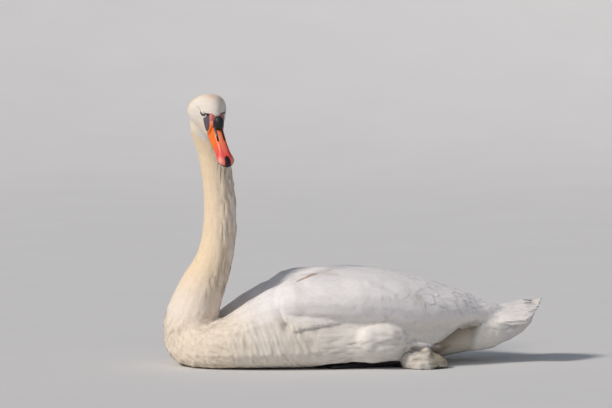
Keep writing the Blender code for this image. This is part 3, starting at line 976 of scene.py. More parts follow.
@dataclass
class Skin:
    """One skin for head, neck, trunk, wings, tail and lower legs, which lies under the depth of the coat.

    Its lengths are in metres; the coat is thinner than that of the body and head on the tail and face.
    """

    grain: float = 0.0026
    lowest: float = 0.0006
    most: int = 190_000
    body_coat: float = 0.0012
    neck_coat: float = 0.0009
    head_coat: float = 0.0008
    bare_coat: float = 0.0003
    thinner: float = 0.0003
    hood_z: float = 0.40
    pink: str = "D88478"
    salmon: str = "F0907A"
    orange: str = "F07A34"
    wine: str = "8E3A38"
    lore: str = "5C525C"
    black: str = "171217"
    brown: str = "2C1F20"
    tear_duct: str = "0E0A0C"
    gape: str = "6E2420"
    thing: bpy.types.Object = field(init=False)
    tree: BVHTree = field(init=False)
    face_normals: np.ndarray = field(init=False)
    corners: np.ndarray = field(init=False)
    root_uv: np.ndarray = field(init=False)

    def depth(self, points: np.ndarray) -> np.ndarray:
        """How thick the coat is at each place.

        Args:
            points: places on the swan.

        Returns:
            Depths in metres.
        """
        x, _, z = points.T
        own = AXES.local(points)
        depth = self.body_coat - self.thinner * step(0.25, 0.30, x)
        face = self.head_coat - self.thinner * step(-45, -18, own[:, 0])
        for there, share in (
            (self.neck_coat, step(0.13, 0.20, z) * step(-0.19, -0.23, x)),
            (face, step(0.425, 0.455, z)),
            (self.bare_coat, FACE.bare(own) * step(self.hood_z, 0.42, z)),
        ):
            depth = depth * (1 - share) + there * share
        return depth

    def build(self) -> bpy.types.Object:
        """Makes the skin.

        Returns:
            The finished piece.
        """
        # the eyes are closed over first, and the lids are opened again by shape_face
        thing = copy_of("plumage_skin", *FLESH, "eye_left", "eye_right")
        apply(thing, "REMESH", mode="VOXEL", voxel_size=self.grain, adaptivity=0.0)
        apply(thing, "SMOOTH", factor=0.5, iterations=7)
        self.thing = thing
        self.refine_face()
        points = points_of(thing)
        points += normals_of(thing) * (RELIEF.at(points) - self.depth(points))[:, None]
        points[:, 2] = np.maximum(points[:, 2], self.lowest)
        move_points(thing, points)
        self.shape_face()
        self.unwrap()
        self.dress()
        self.index()
        return settle(thing, DownySkin().material(), "body_plumage", *FLESH)

    def refine_face(self) -> None:
        """Makes the mesh finer on the face, and finer again round the bill, in edit mode."""
        thing = self.thing
        for reach in (-50.0, -38.0):
            ahead, left, up = AXES.local(points_of(thing)).T
            alone(thing)
            bpy.ops.object.mode_set(mode="EDIT")
            bpy.ops.mesh.select_mode(type="VERT")
            bpy.ops.mesh.select_all(action="DESELECT")
            bpy.ops.object.mode_set(mode="OBJECT")
            chosen = (ahead > reach) & (up > -18) & (up < 62) & (np.abs(left) < 45)
            thing.data.vertices.foreach_set("select", chosen)
            bpy.ops.object.mode_set(mode="EDIT")
            bpy.ops.mesh.select_mode(type="FACE")
            bpy.ops.mesh.subdivide(number_cuts=1)
            bpy.ops.mesh.select_mode(type="VERT")
            bpy.ops.mesh.vertices_smooth(factor=0.5, repeat=5)
            bpy.ops.object.mode_set(mode="OBJECT")

    def shape_face(self) -> None:
        """Opens the eyelids round the eyes and raises the brows."""
        own = AXES.local(points_of(self.thing))
        reach = FACE.slit_reach(own)
        for side in Side:
            centre = FACE.centre(side)
            near = (reach < 3.6) & (own[:, 1] * side.value > 5)
            away = own[near] - centre
            distance = np.linalg.norm(away, axis=1)
            outward = away / distance[:, None]
            share = reach[near]
            opening = step(1.08, 0.92, share)
            lid = step(0.95, 1.08, share) * step(3.2, 2.3, share)
            wanted = distance * (1 - lid) + (FACE.eye_radius + 0.75) * lid
            wanted = np.where(lid > 0, np.maximum(wanted, distance * (1 - lid) + wanted * lid), wanted)
            wanted = wanted * (1 - opening) + (FACE.eye_radius - 1.3) * opening
            own[near] = centre + outward * wanted[:, None]
            brow = bell(from_line(own[:, 0], own[:, 2], FACE.brow), 2.4)
            brow *= (own[:, 1] * side.value > 6) * (reach > 1.1)
            own[:, 1] += side.value * 1.5 * brow
            own[:, 2] -= 0.8 * brow
        move_points(self.thing, AXES.world(own))

    def unwrap(self) -> None:
        """Unwraps the skin by its own shape, on the map that the coats' tufts have their places on."""
        alone(self.thing)
        while self.thing.data.uv_layers:
            self.thing.data.uv_layers.remove(self.thing.data.uv_layers[0])
        self.thing.data.uv_layers.new(name="OFBake")
        bpy.ops.object.mode_set(mode="EDIT")
        bpy.ops.mesh.select_all(action="SELECT")
        bpy.ops.uv.smart_project(angle_limit=1.15, island_margin=0.004, scale_to_bounds=True)
        bpy.ops.object.mode_set(mode="OBJECT")

    def dress(self) -> None:
        """Paints the skin with the markings of plumage and bare face."""
        points = points_of(self.thing)
        own = AXES.local(points)
        ahead, left, up = own.T
        head = step(self.hood_z, 0.42, points[:, 2])
        side = np.abs(left)
        lore = FACE.inside(own, FACE.lore)
        front = FACE.bare_front(own)
        bare = step(-0.7, 0.5, front)
        wrinkle = bell(from_line(ahead, up, FACE.wrinkle), 1.3) * step(4, 7, side) * step(15, 12, side)
        rim = step(3.2, 0.4, lore) * step(-0.4, 0.6, lore) * (side > 7) * step(-9, 0, ahead + 0.5 * (22 - up))
        duct = step(2.4, 1.4, np.hypot(ahead + 14.2, up - 37.0)) * (side > 9)
        layers = (
            (self.pink, bare),
            (self.salmon, bare * step(36.5, 31, up)),
            (self.orange, bare * step(31, 25, up)),
            (self.wine, 0.75 * wrinkle),
            (self.wine, 0.55 * bell(front, 1.0) * (ahead < -4)),
            # painted shade: the bare skin on the far side of the face darker
            (self.wine, 0.75 * bare * step(5.0, 9.0, left)),
            (self.lore, step(-0.5, 0.6, lore) * (side > 7)),
            (self.black, 0.75 * rim),
            (self.brown, step(-0.6, 0.6, FACE.inside(own, FACE.band)) * (side > 9)),
            (self.tear_duct, duct),
            (self.black, step(1.42, 1.25, FACE.slit_reach(own))),
            (self.gape, 1.3 * bell(ahead + 4.8, 3.0) * bell(up + 0.5, 2.4) * (side > 9)),
        )
        colour = layered(COLOURS.at(points), *((code, share * head) for code, share in layers))
        paint(self.thing, "tint", np.clip(colour, 0, 1))
        paint(self.thing, "bare", FACE.bare(own) * head)

    def thin(self) -> None:
        """Makes the mesh coarser under the feathers, once they are laid, and leaves the head as it is."""
        thing = self.thing
        hidden = np.flatnonzero(points_of(thing)[:, 2] < self.hood_z)
        group = thing.vertex_groups.new(name="hidden")
        group.add(hidden.tolist(), 1.0, "REPLACE")
        apply(thing, "DECIMATE", ratio=self.most / triangles(thing), vertex_group="hidden")
        thing.vertex_groups.clear()

    def index(self) -> None:
        """Prepares the skin for finding places on it."""
        mesh = self.thing.data
        points, normals = points_of(self.thing), normals_of(self.thing)
        polygons = [tuple(p.vertices) for p in mesh.polygons]
        self.tree = BVHTree.FromPolygons([Vector(p) for p in points], polygons)
        self.face_normals = unit(np.array([normals[list(p)].mean(0) for p in polygons]))
        uv = np.empty(len(mesh.loops) * 2, np.float32)
        mesh.uv_layers["OFBake"].data.foreach_get("uv", uv)
        starts = np.array([p.loop_start for p in mesh.polygons])
        self.root_uv = uv.reshape(-1, 2)[starts]
        self.corners = np.array([points[[p[0], p[1], p[2], p[-1]]] for p in polygons])

    def snap(self, points: np.ndarray) -> tuple[np.ndarray, np.ndarray]:
        """The nearest places on the skin.

        Args:
            points: any places near it.

        Returns:
            Places on the skin and the smoothed outward directions there.
        """
        flat = points.reshape(-1, 3)
        found = [self.tree.find_nearest(p) for p in flat.tolist()]
        on = np.array([f[0] for f in found])
        index = np.array([f[2] for f in found])
        return on.reshape(points.shape), self.face_normals[index].reshape(points.shape)

    def scatter(
        self, spacing: Callable[[np.ndarray, np.ndarray], np.ndarray], seed: int
    ) -> tuple[np.ndarray, np.ndarray, np.ndarray]:
        """Strews roots evenly over the skin, with no two too close.

        Args:
            spacing: gives the distance between roots from places and normals; 0 leaves a place bare.
            seed: seed of the random numbers.

        Returns:
            Places, outward directions and places on the unwrap.
        """
        random = np.random.default_rng(seed)
        quads = self.corners
        middle = quads.mean(1)
        area = (
            np.linalg.norm(np.cross(quads[:, 1] - quads[:, 0], quads[:, 2] - quads[:, 0]), axis=1)
            + np.linalg.norm(np.cross(quads[:, 2] - quads[:, 0], quads[:, 3] - quads[:, 0]), axis=1)
        ) / 2
        gap = spacing(middle, self.face_normals)
        share = np.where(gap > 0, area / np.maximum(gap, 1e-5) ** 2, 0)
        count = int(share.sum() * 3.0)
        chosen = random.choice(len(middle), count, p=share / share.sum())
        u, v = random.random((2, count, 1))
        four = quads[chosen]
        near, far = four[:, 0] * (1 - u) + four[:, 1] * u, four[:, 3] * (1 - u) + four[:, 2] * u
        places = near * (1 - v) + far * v
        tree = KDTree(count)
        for i, place in enumerate(places.tolist()):
            tree.insert(place, i)
        tree.balance()
        alive = np.ones(count, bool)
        kept = []
        for i, place in enumerate(places.tolist()):
            if not alive[i]:
                continue
            kept.append(i)
            for _, other, _ in tree.find_range(place, gap[chosen[i]] * 0.86):
                alive[other] = False
        return places[kept], self.face_normals[chosen[kept]], self.root_uv[chosen[kept]]


# ---------------------------------------------------------------- feathers
class Shape(Enum):
    """The two meshes that feathers are made of."""

    TUFT = "a pointed tuft of barbs with three sides"
    VANE = "a wide feather that follows the skin under it"


@dataclass(frozen=True)
class Cut:
    """One feather mesh: its stations from root to tip, its width there and its cross-section, all as shares.

    The swell says how soon it lifts from the skin, and vary how much its tone differs from its neighbours'.
    """

    along: tuple[float, ...]
    width: tuple[float, ...]
    across: tuple[float, ...]
    upper: tuple[float, ...]
    swell: float
    vary: float


CUTS = {
    Shape.TUFT: Cut((0.0, 0.42, 0.80), (0.60, 1.0, 0.62), (-0.5, 0.0, 0.5), (0, 1, 0), 0.50, 0.012),
    Shape.VANE: Cut(
        (0.0, 0.16, 0.34, 0.52, 0.70, 0.84, 0.94, 0.99), (0.30, 0.72, 0.95, 1.0, 0.95, 0.76, 0.46, 0.18),
        (-0.5, -0.27, 0.0, 0.27, 0.5), (0, 0.75, 1, 0.75, 0), 0.75, 0.006,
    ),
}


@dataclass
class Laid:
    """Feathers laid on the skin: their lines by feather and station, and their sizes and roots by feather."""

    middle: np.ndarray
    side: np.ndarray
    ups: np.ndarray
    rise: np.ndarray
    width: np.ndarray
    length: np.ndarray
    uv: np.ndarray


@dataclass
class Coat:
    """One piece of plumage: many feathers of one shape over a part of the skin.

    Lengths are in metres, the yaw is in radians, the ruffle in millimetres, and the patch is a share of the
    unwrap. A flat coat is stiff, and its tips may pass the end of the skin.
    """

    name: str
    shape: Shape
    slot: str
    seed: int
    spacing: Callable[[np.ndarray, np.ndarray], np.ndarray]
    length: Callable[[np.ndarray], np.ndarray]
    width: Callable[[np.ndarray], np.ndarray]
    tip_height: Callable[[np.ndarray], np.ndarray]
    root_height: float = 0.0
    thickness: float = 0.0006
    yaw: float = 0.12
    ruffle: float = 0.25
    soft: float = 0.65
    most: int = 9000
    uneven: float = 0.16
    flat: bool = False
    steady: float = 0.72
    free_x: float = 0.343
    free_gap: float = 0.0007
    patch: float = 0.003
    lowest: float = 0.0004

    def build(self, skin: Skin, material: bpy.types.Material) -> bpy.types.Object:
        """Makes the coat.

        Args:
            skin: what the feathers grow from.
            material: their finish.

        Returns:
            The finished piece.
        """
        places, normals, uv = skin.scatter(self.spacing, self.seed)
        if len(places) > self.most:
            log.info("%s: %d roots thinned to %d", self.name, len(places), self.most)
            keep = np.random.default_rng(1).permutation(len(places))[: self.most]
            places, normals, uv = places[keep], normals[keep], uv[keep]
        random = np.random.default_rng(self.seed + 100)
        count = len(places)
        length = self.length(places) * random.uniform(1 - self.uneven, 1 + self.uneven, count)
        width = self.width(places) * random.uniform(0.82, 1.18, count)
        high = self.tip_height(places) + MM * self.ruffle * random.uniform(-1, 1, count)
        yaw = random.normal(0, self.yaw, count)
        stations = np.array([*CUTS[self.shape].along, 1.0])
        lines, ups, ways = self.lay(skin, places, normals, length, yaw, stations)
        # a feather that would fold over itself in a crease is left out
        gone = unit(lines[:, 1:] - lines[:, :-1] + 1e-9)
        kept = (ups[:, 1:] * ups[:, :-1]).sum(-1).min(1) > self.steady
        kept &= (gone * ways[:, 1:]).sum(-1).min(1) > self.steady
        lines, ups, ways, length, width, high, uv = (
            part[kept] for part in (lines, ups, ways, length, width, high, uv)
        )
        lifted = stations[None] ** CUTS[self.shape].swell
        rise = self.root_height + (high[:, None] - self.root_height) * lifted
        middle = lines + ups * rise[..., None]
        side = unit(np.cross(ups, ways))
        if self.shape is Shape.TUFT or self.flat:
            # one direction across for the whole feather, so that its faces stay flat and don't cross
            side = np.broadcast_to(unit(side.sum(1, keepdims=True)), side.shape)
            ups = unit(np.cross(np.gradient(middle, axis=1), side))
        parts = self.shell(skin, Laid(middle, side, ups, rise, width, length, uv), random)
        return self.join(*parts, material)

    def lay(
        self, skin: Skin, places: np.ndarray, normals: np.ndarray, length: np.ndarray,
        yaw: np.ndarray, stations: np.ndarray,
    ) -> tuple[np.ndarray, np.ndarray, np.ndarray]:
        """Lays each feather along the skin from its root.

        Args:
            skin: the skin.
            places: roots.
            normals: outward directions at the roots.
            length: lengths of the feathers.
            yaw: turn of each feather from the lie, in radians.
            stations: shares of the length, from 0 to 1.

        Returns:
            Lines of places, outward directions and directions of growth, by feather and station.
        """
        here, up = places.copy(), normals.copy()
        lines, ups, ways = [], [], []
        last = 0.0
        for station in stations:
            way = LIE.at(here, up)
            side = np.cross(up, way)
            way = unit(way * np.cos(yaw)[:, None] + side * np.sin(yaw)[:, None])
            if station > last:
                ahead = here + way * (length * (station - last))[:, None]
                here, fresh = skin.snap(ahead)
                lifted = np.linalg.norm(here - ahead, axis=1) > self.free_gap
                free = (lifted & (ahead[:, 0] > self.free_x) & self.flat)[:, None]
                here = np.where(free, ahead, here)
                up = unit(up * 0.35 + np.where(free, up, fresh) * 0.65)
                way = unit(way - up * (way * up).sum(1, keepdims=True))
            last = station
            lines.append(here)
            ups.append(up)
            ways.append(way)
        return np.stack(lines, 1), np.stack(ups, 1), np.stack(ways, 1)

    def shell(self, skin: Skin, laid: Laid, random: np.random.Generator) -> tuple[np.ndarray, ...]:
        """Gives each feather its shell, with a tip, and its colours.

        Args:
            skin: the skin.
            laid: the feathers.
            random: the random numbers.

        Returns:
            By feather and vertex: places, outward directions of the body (0 on undersides), colours, places
            on the unwrap, and places on the feather in millimetres.
        """
        cut = CUTS[self.shape]
        count, rows = len(laid.middle), len(cut.along)
        across, upper, shares = np.array(cut.across), np.array(cut.upper), np.array(cut.width)
        half = laid.width[:, None] * shares[None] * random.uniform(0.92, 1.08, (count, rows))
        offset = half[:, :, None] * across[None, None]
        ups = laid.ups[:, :rows, None]
        rings = laid.middle[:, :rows, None] + laid.side[:, :rows, None] * offset[..., None]
        up = np.broadcast_to(ups, rings.shape)
        if self.shape is Shape.VANE and not self.flat:
            on, up = skin.snap(rings)
            up = np.where(((up * ups).sum(-1) < 0.6)[..., None], ups, up)
            rings = on + up * laid.rise[:, :rows, None, None]
        thick = self.thickness * (0.35 + 0.65 * shares)[None, :, None] * upper[None, None]
        layers, leans, sides = [rings + up * thick[..., None]], [up], [across]
        if self.shape is Shape.VANE:
            layers.append(rings[:, :, 1:-1] - up[:, :, 1:-1] * self.thickness * 0.25)
            leans.append(np.zeros_like(up[:, :, 1:-1]))
            sides.append(across[1:-1])
        lean = np.concatenate([part.reshape(count, -1, 3) for part in leans] + [laid.ups[:, -1:]], 1)
        points = np.concatenate([layer.reshape(count, -1, 3) for layer in layers] + [laid.middle[:, -1:]], 1)
        along = np.concatenate([np.repeat(cut.along, len(part)) for part in sides] + [[1.0]])
        sideways = np.concatenate([np.tile(part, rows) for part in sides] + [[0.0]])
        points[..., 2] = np.maximum(points[..., 2], self.lowest)
        tone = COLOURS.at(points.reshape(-1, 3), furrow_dust_and_shade=self.shape is Shape.TUFT).reshape(points.shape)
        tone = tone * random.uniform(1 - cut.vary, 1 + cut.vary, (count, 1, 1))
        tone = tone * (0.985 + 0.015 * along)[None, :, None]
        patch = laid.uv[:, None] + self.patch * np.stack([sideways, along - 0.5], -1)[None]
        vane = np.stack([sideways[None] * laid.width[:, None], along[None] * laid.length[:, None]], -1) / MM
        return points, lean, tone, patch, vane

    def faces(self) -> list[tuple[int, ...]]:
        """Corners of the faces of one feather, wound to face outwards.

        Returns:
            Faces as vertex numbers.
        """
        cut = CUTS[self.shape]
        rows, columns = len(cut.along), len(cut.across)
        end, base = (rows - 1) * columns, rows * columns
        if self.shape is Shape.TUFT:
            made = [
                (a + c, a + columns + c, a + columns + d, a + d)
                for a in range(0, end, columns)
                for c, d in zip(range(columns), (*range(1, columns), 0))
            ]
            made += [(end + c, base, end + (c + 1) % columns) for c in range(columns)]
            return made + [tuple(range(columns))]
        inner = columns - 2
        tip = base + rows * inner

        def low(row: int, column: int) -> int:
            """Number of an underside vertex; the outer columns are shared with the top."""
            shared = column in (0, columns - 1)
            return row * columns + column if shared else base + row * inner + column - 1

        made = []
        for r in range(rows - 1):
            for c in range(columns - 1):
                a, b = r * columns + c, r * columns + c + 1
                made.append((a, a + columns, b + columns, b))
                made.append((low(r, c), low(r, c + 1), low(r + 1, c + 1), low(r + 1, c)))
        made.append((*range(columns), *(low(0, c) for c in range(inner, 0, -1))))
        for c in range(columns - 1):
            made.append((end + c, tip, end + c + 1))
            made.append((low(rows - 1, c), low(rows - 1, c + 1), tip))
        return made

    def join(
        self, points: np.ndarray, lean: np.ndarray, tone: np.ndarray, patch: np.ndarray, vane: np.ndarray,
        material: bpy.types.Material,
    ) -> bpy.types.Object:
        """Joins all the feathers in one mesh.

        Args:
            points: vertices by feather.
            lean: outward direction of the body under each vertex, or 0 on undersides.
            tone: colour of each vertex.
            patch: place of each vertex on the unwrap.
            vane: place of each vertex on its feather, in millimetres.
            material: the finish.

        Returns:
            The finished piece.
        """
        count, per = points.shape[:2]
        faces = self.faces()
        points = points.reshape(-1, 3)
        loops = np.concatenate([np.array(face) for face in faces])
        corners = (loops[None] + per * np.arange(count)[:, None]).ravel()
        totals = np.tile([len(face) for face in faces], count)
        starts = np.concatenate([[0], np.cumsum(totals)[:-1]])
        mesh = bpy.data.meshes.new(self.name)
        mesh.vertices.add(len(points))
        mesh.vertices.foreach_set("co", points.astype(np.float32).ravel())
        mesh.loops.add(len(corners))
        mesh.loops.foreach_set("vertex_index", corners.astype(np.int32))
        mesh.polygons.add(len(totals))
        mesh.polygons.foreach_set("loop_start", starts.astype(np.int32))
        mesh.update(calc_edges=True)
        for name, values in (("OFBake", patch), ("vane", vane)):
            layer = mesh.uv_layers.new(name=name)
            layer.data.foreach_set("uv", values.reshape(-1, 2)[corners].astype(np.float32).ravel())
        mesh.uv_layers["OFBake"].active_render = True
        thing = bpy.data.objects.new(self.name, mesh)
        bpy.context.scene.collection.objects.link(thing)
        paint(thing, "tint", np.clip(tone.reshape(-1, 3), 0, 1))
        settle(thing, material, self.slot)
        # thousands of barbs catch the light as one soft surface, so the shading leans to the body's own
        soft = self.soft * (1 - 0.25 * step(0.06, 0.14, points[:, :1]))
        bent = unit(normals_of(thing) * (1 - soft) + lean.reshape(-1, 3) * soft)
        mesh.normals_split_custom_set_from_vertices(bent.tolist())
        return thing


# ---------------------------------------------------------------- regions of the plumage
def on_head(points: np.ndarray) -> np.ndarray:
    """Whether each place is on the head."""
    own = AXES.local(points)
    return (own[:, 0] > -62) & (points[:, 2] > 0.415) & (own[:, 2] > -27)


def on_neck(points: np.ndarray) -> np.ndarray:
    """Whether each place is on the neck, above the shoulders."""
    x, _, z = points.T
    return (x < -0.205) & (z > 0.118 + 0.35 * np.clip(x + 0.31, 0, 1)) & ~on_head(points)


def on_tail(points: np.ndarray) -> np.ndarray:
    """Whether each place is on the tail."""
    x, _, z = points.T
    return (x > TAIL_X) & (z > 0.070 + 0.45 * (x - TAIL_X))


def on_wing(points: np.ndarray) -> np.ndarray:
    """Whether each place is on the back or a folded wing.

    Args:
        points: places on the swan.

    Returns:
        True or False for each.
    """
    x, _, z = points.T
    edge = height_on(RELIEF.wing_edge, x) - 0.025 * step(0.10, 0.20, x)
    edge = np.maximum(edge, 0.064 * span(x, (0.00, 0.03), (0.145, 0.165)))
    return (z > edge) & (x > -0.20) & ~on_neck(points) & ~on_tail(points) & (x < TAIL_X)


def mask(gap: float | np.ndarray, where: np.ndarray) -> np.ndarray:
    """The spacing gap where the mask holds, and 0 elsewhere."""
    return np.where(where, gap, 0.0)


def even(value: float) -> Callable[[np.ndarray], np.ndarray]:
    """A size that is the same at every place."""
    return lambda points: np.full(len(points), value)


@dataclass
class Plumage:
    """All the coats of the swan."""

    skin: Skin

    def head(self) -> Coat:
        """Short tufts on the head, smallest on the face.

        Returns:
            The coat.
        """

        def away(points: np.ndarray) -> np.ndarray:
            """How far back from the face each place is, from 0 to 1."""
            return step(-15, -60, AXES.local(points)[:, 0])

        def spacing(points: np.ndarray, normals: np.ndarray) -> np.ndarray:
            """Distance between roots.

            Args:
                points: places on the skin.
                normals: the skin's outward directions there.

            Returns:
                Distances in metres, 0 where it is bare.
            """
            own = AXES.local(points)
            clear = (FACE.bare(own) < 0.35) & (FACE.slit_reach(own - np.array([1.5, 0, 0])) > 1.35)
            return mask(0.00100 + 0.0005 * away(points), on_head(points) & clear & (own[:, 0] < 2))

        def length(points: np.ndarray) -> np.ndarray:
            """Length of the tufts, shorter round the eye."""
            close = step(3.2, 1.2, FACE.slit_reach(AXES.local(points)))
            return (0.0036 + 0.0040 * away(points)) * (1 - 0.35 * close)

        def height(points: np.ndarray) -> np.ndarray:
            """Height of the tips over the skin."""
            return 0.0003 + 0.0001 * step(-18, -45, AXES.local(points)[:, 0])

        return Coat(
            "head_feathers", Shape.TUFT, "neck_plumage", 11, spacing, length,
            lambda p: 0.0016 + 0.0010 * away(p), height,
            root_height=-0.0001, thickness=0.00015, ruffle=0.03, soft=0.90,
        )

    def neck(self, upper: bool) -> Coat:
        """Narrow plush tufts on the neck.

        Args:
            upper: the upper half, or else the lower one.

        Returns:
            The coat.
        """

        def down(points: np.ndarray) -> np.ndarray:
            """How far down the neck each place is, from 0 to 1."""
            return step(0.30, 0.12, points[:, 2])

        def spacing(points: np.ndarray, normals: np.ndarray) -> np.ndarray:
            """Distance between roots."""
            half = (points[:, 2] > 0.262) == upper
            return mask(0.00150 + 0.0005 * down(points), on_neck(points) & half)

        return Coat(
            "neck_feathers_upper" if upper else "neck_feathers_lower", Shape.TUFT, "neck_plumage",
            21 if upper else 22, spacing, lambda p: 0.0100 + 0.003 * down(p),
            lambda p: 0.0030 + 0.0010 * down(p), even(0.0004),
            root_height=-0.0001, thickness=0.0002, ruffle=0.04, soft=0.90, most=12300,
        )

    def soft(self, front: bool, side: Side) -> Coat:
        """Fine soft feathers of the breast, or of the flanks, belly and rump.

        Args:
            front: the breast and the front of the flank, or else the rest.
            side: which side of the body.

        Returns:
            The coat.
        """

        def spacing(points: np.ndarray, normals: np.ndarray) -> np.ndarray:
            """Distance between roots, wider on the belly.

            Args:
                points: places on the skin.
                normals: the skin's outward directions there.

            Returns:
                Distances in metres, 0 where other coats lie.
            """
            x, y, z = points.T
            here = ~on_neck(points) & ~on_wing(points) & ~on_head(points) & ~on_tail(points) & (z > 0.001)
            here &= (x < -0.085) == front
            if front:
                here |= on_wing(points) & (x < -0.030)
            return mask(0.00212 + 0.0012 * step(0.012, 0.004, z), here & (y * -side.value >= 0))

        def height(points: np.ndarray) -> np.ndarray:
            """Height of the tips, which stand out a little under the neck."""
            x, _, z = points.T
            return 0.0005 + 0.0003 * step(-0.22, -0.26, x) * step(0.13, 0.09, z)

        return Coat(
            f"{'breast' if front else 'flank'}_feathers_{side.name.lower()}", Shape.TUFT, "body_plumage",
            (31 if front else 41) + side.value, spacing, even(0.0125 if front else 0.0140), even(0.0042),
            height, root_height=-0.0001, thickness=0.0002, yaw=0.13, ruffle=0.05, soft=0.90, most=12300,
        )

    def back(self, side: Side) -> Coat:
        """Vanes of the back and one folded wing, longer towards the tail.

        Args:
            side: which wing.

        Returns:
            The coat.
        """

        def size(points: np.ndarray) -> np.ndarray:
            """Length of the vanes."""
            x = points[:, 0]
            return 0.022 + 0.020 * step(-0.16, -0.02, x) + 0.030 * (step(0.0, 0.14, x) - step(0.20, 0.27, x))

        def spacing(points: np.ndarray, normals: np.ndarray) -> np.ndarray:
            """Distance between roots."""
            mine = (points[:, 1] * -side.value >= 0) & (points[:, 0] > -0.055)
            return mask(size(points) * 0.19, on_wing(points) & mine)

        return Coat(
            f"wing_feathers_{side.name.lower()}", Shape.VANE, "body_plumage", 51 + side.value, spacing, size,
            lambda p: size(p) * 0.50, lambda p: 0.0010 + 0.0004 * step(0.06, 0.14, p[:, 0]),
            root_height=-0.0004, thickness=0.0003, yaw=0.07, ruffle=0.06, soft=0.94, most=1500,
        )

    def tail_coverts(self) -> Coat:
        """Short feathers over the root of the tail.

        Returns:
            The coat.
        """
        return Coat(
            "tail_coverts", Shape.VANE, "body_plumage", 61,
            lambda p, normals: mask(0.0075, on_tail(p) & (p[:, 0] < 0.302)), even(0.036), even(0.013),
            even(0.0016), root_height=0.0006, thickness=0.0005, yaw=0.05, soft=0.75, most=900,
        )

    def tail_quills(self) -> Coat:
        """The long stiff feathers of the tail, which reach its very end.

        Returns:
            The coat.
        """

        def spacing(points: np.ndarray, normals: np.ndarray) -> np.ndarray:
            """Distance between roots, which lie on the flat of the tail only."""
            root = (points[:, 0] > 0.264) & (points[:, 0] < 0.300) & (np.abs(normals[:, 2]) > 0.55)
            return mask(0.0085, root & on_tail(points))

        def length(points: np.ndarray) -> np.ndarray:
            """Length that brings each tip to the tail's rounded end."""
            x, y, _ = points.T
            return (0.3630 - 11.7 * y**2 - x) * np.sqrt(1 + (y / np.maximum(x - 0.13, 0.05)) ** 2)

        return Coat(
            "tail_quills", Shape.VANE, "body_plumage", 62, spacing, length, even(0.017), even(0.0008),
            root_height=0.0004, thickness=0.0004, yaw=0.02, ruffle=0.12, soft=0.7, most=700, uneven=0.006,
            flat=True,
        )

    def build(self) -> None:
        """Makes every coat."""
        material = FeatherVane().material()
        coats = [self.head(), self.neck(True), self.neck(False)]
        coats += [self.soft(front, side) for front in (True, False) for side in Side]
        coats += [self.back(side) for side in Side]
        for coat in (*coats, self.tail_quills(), self.tail_coverts()):
            coat.build(self.skin, material)


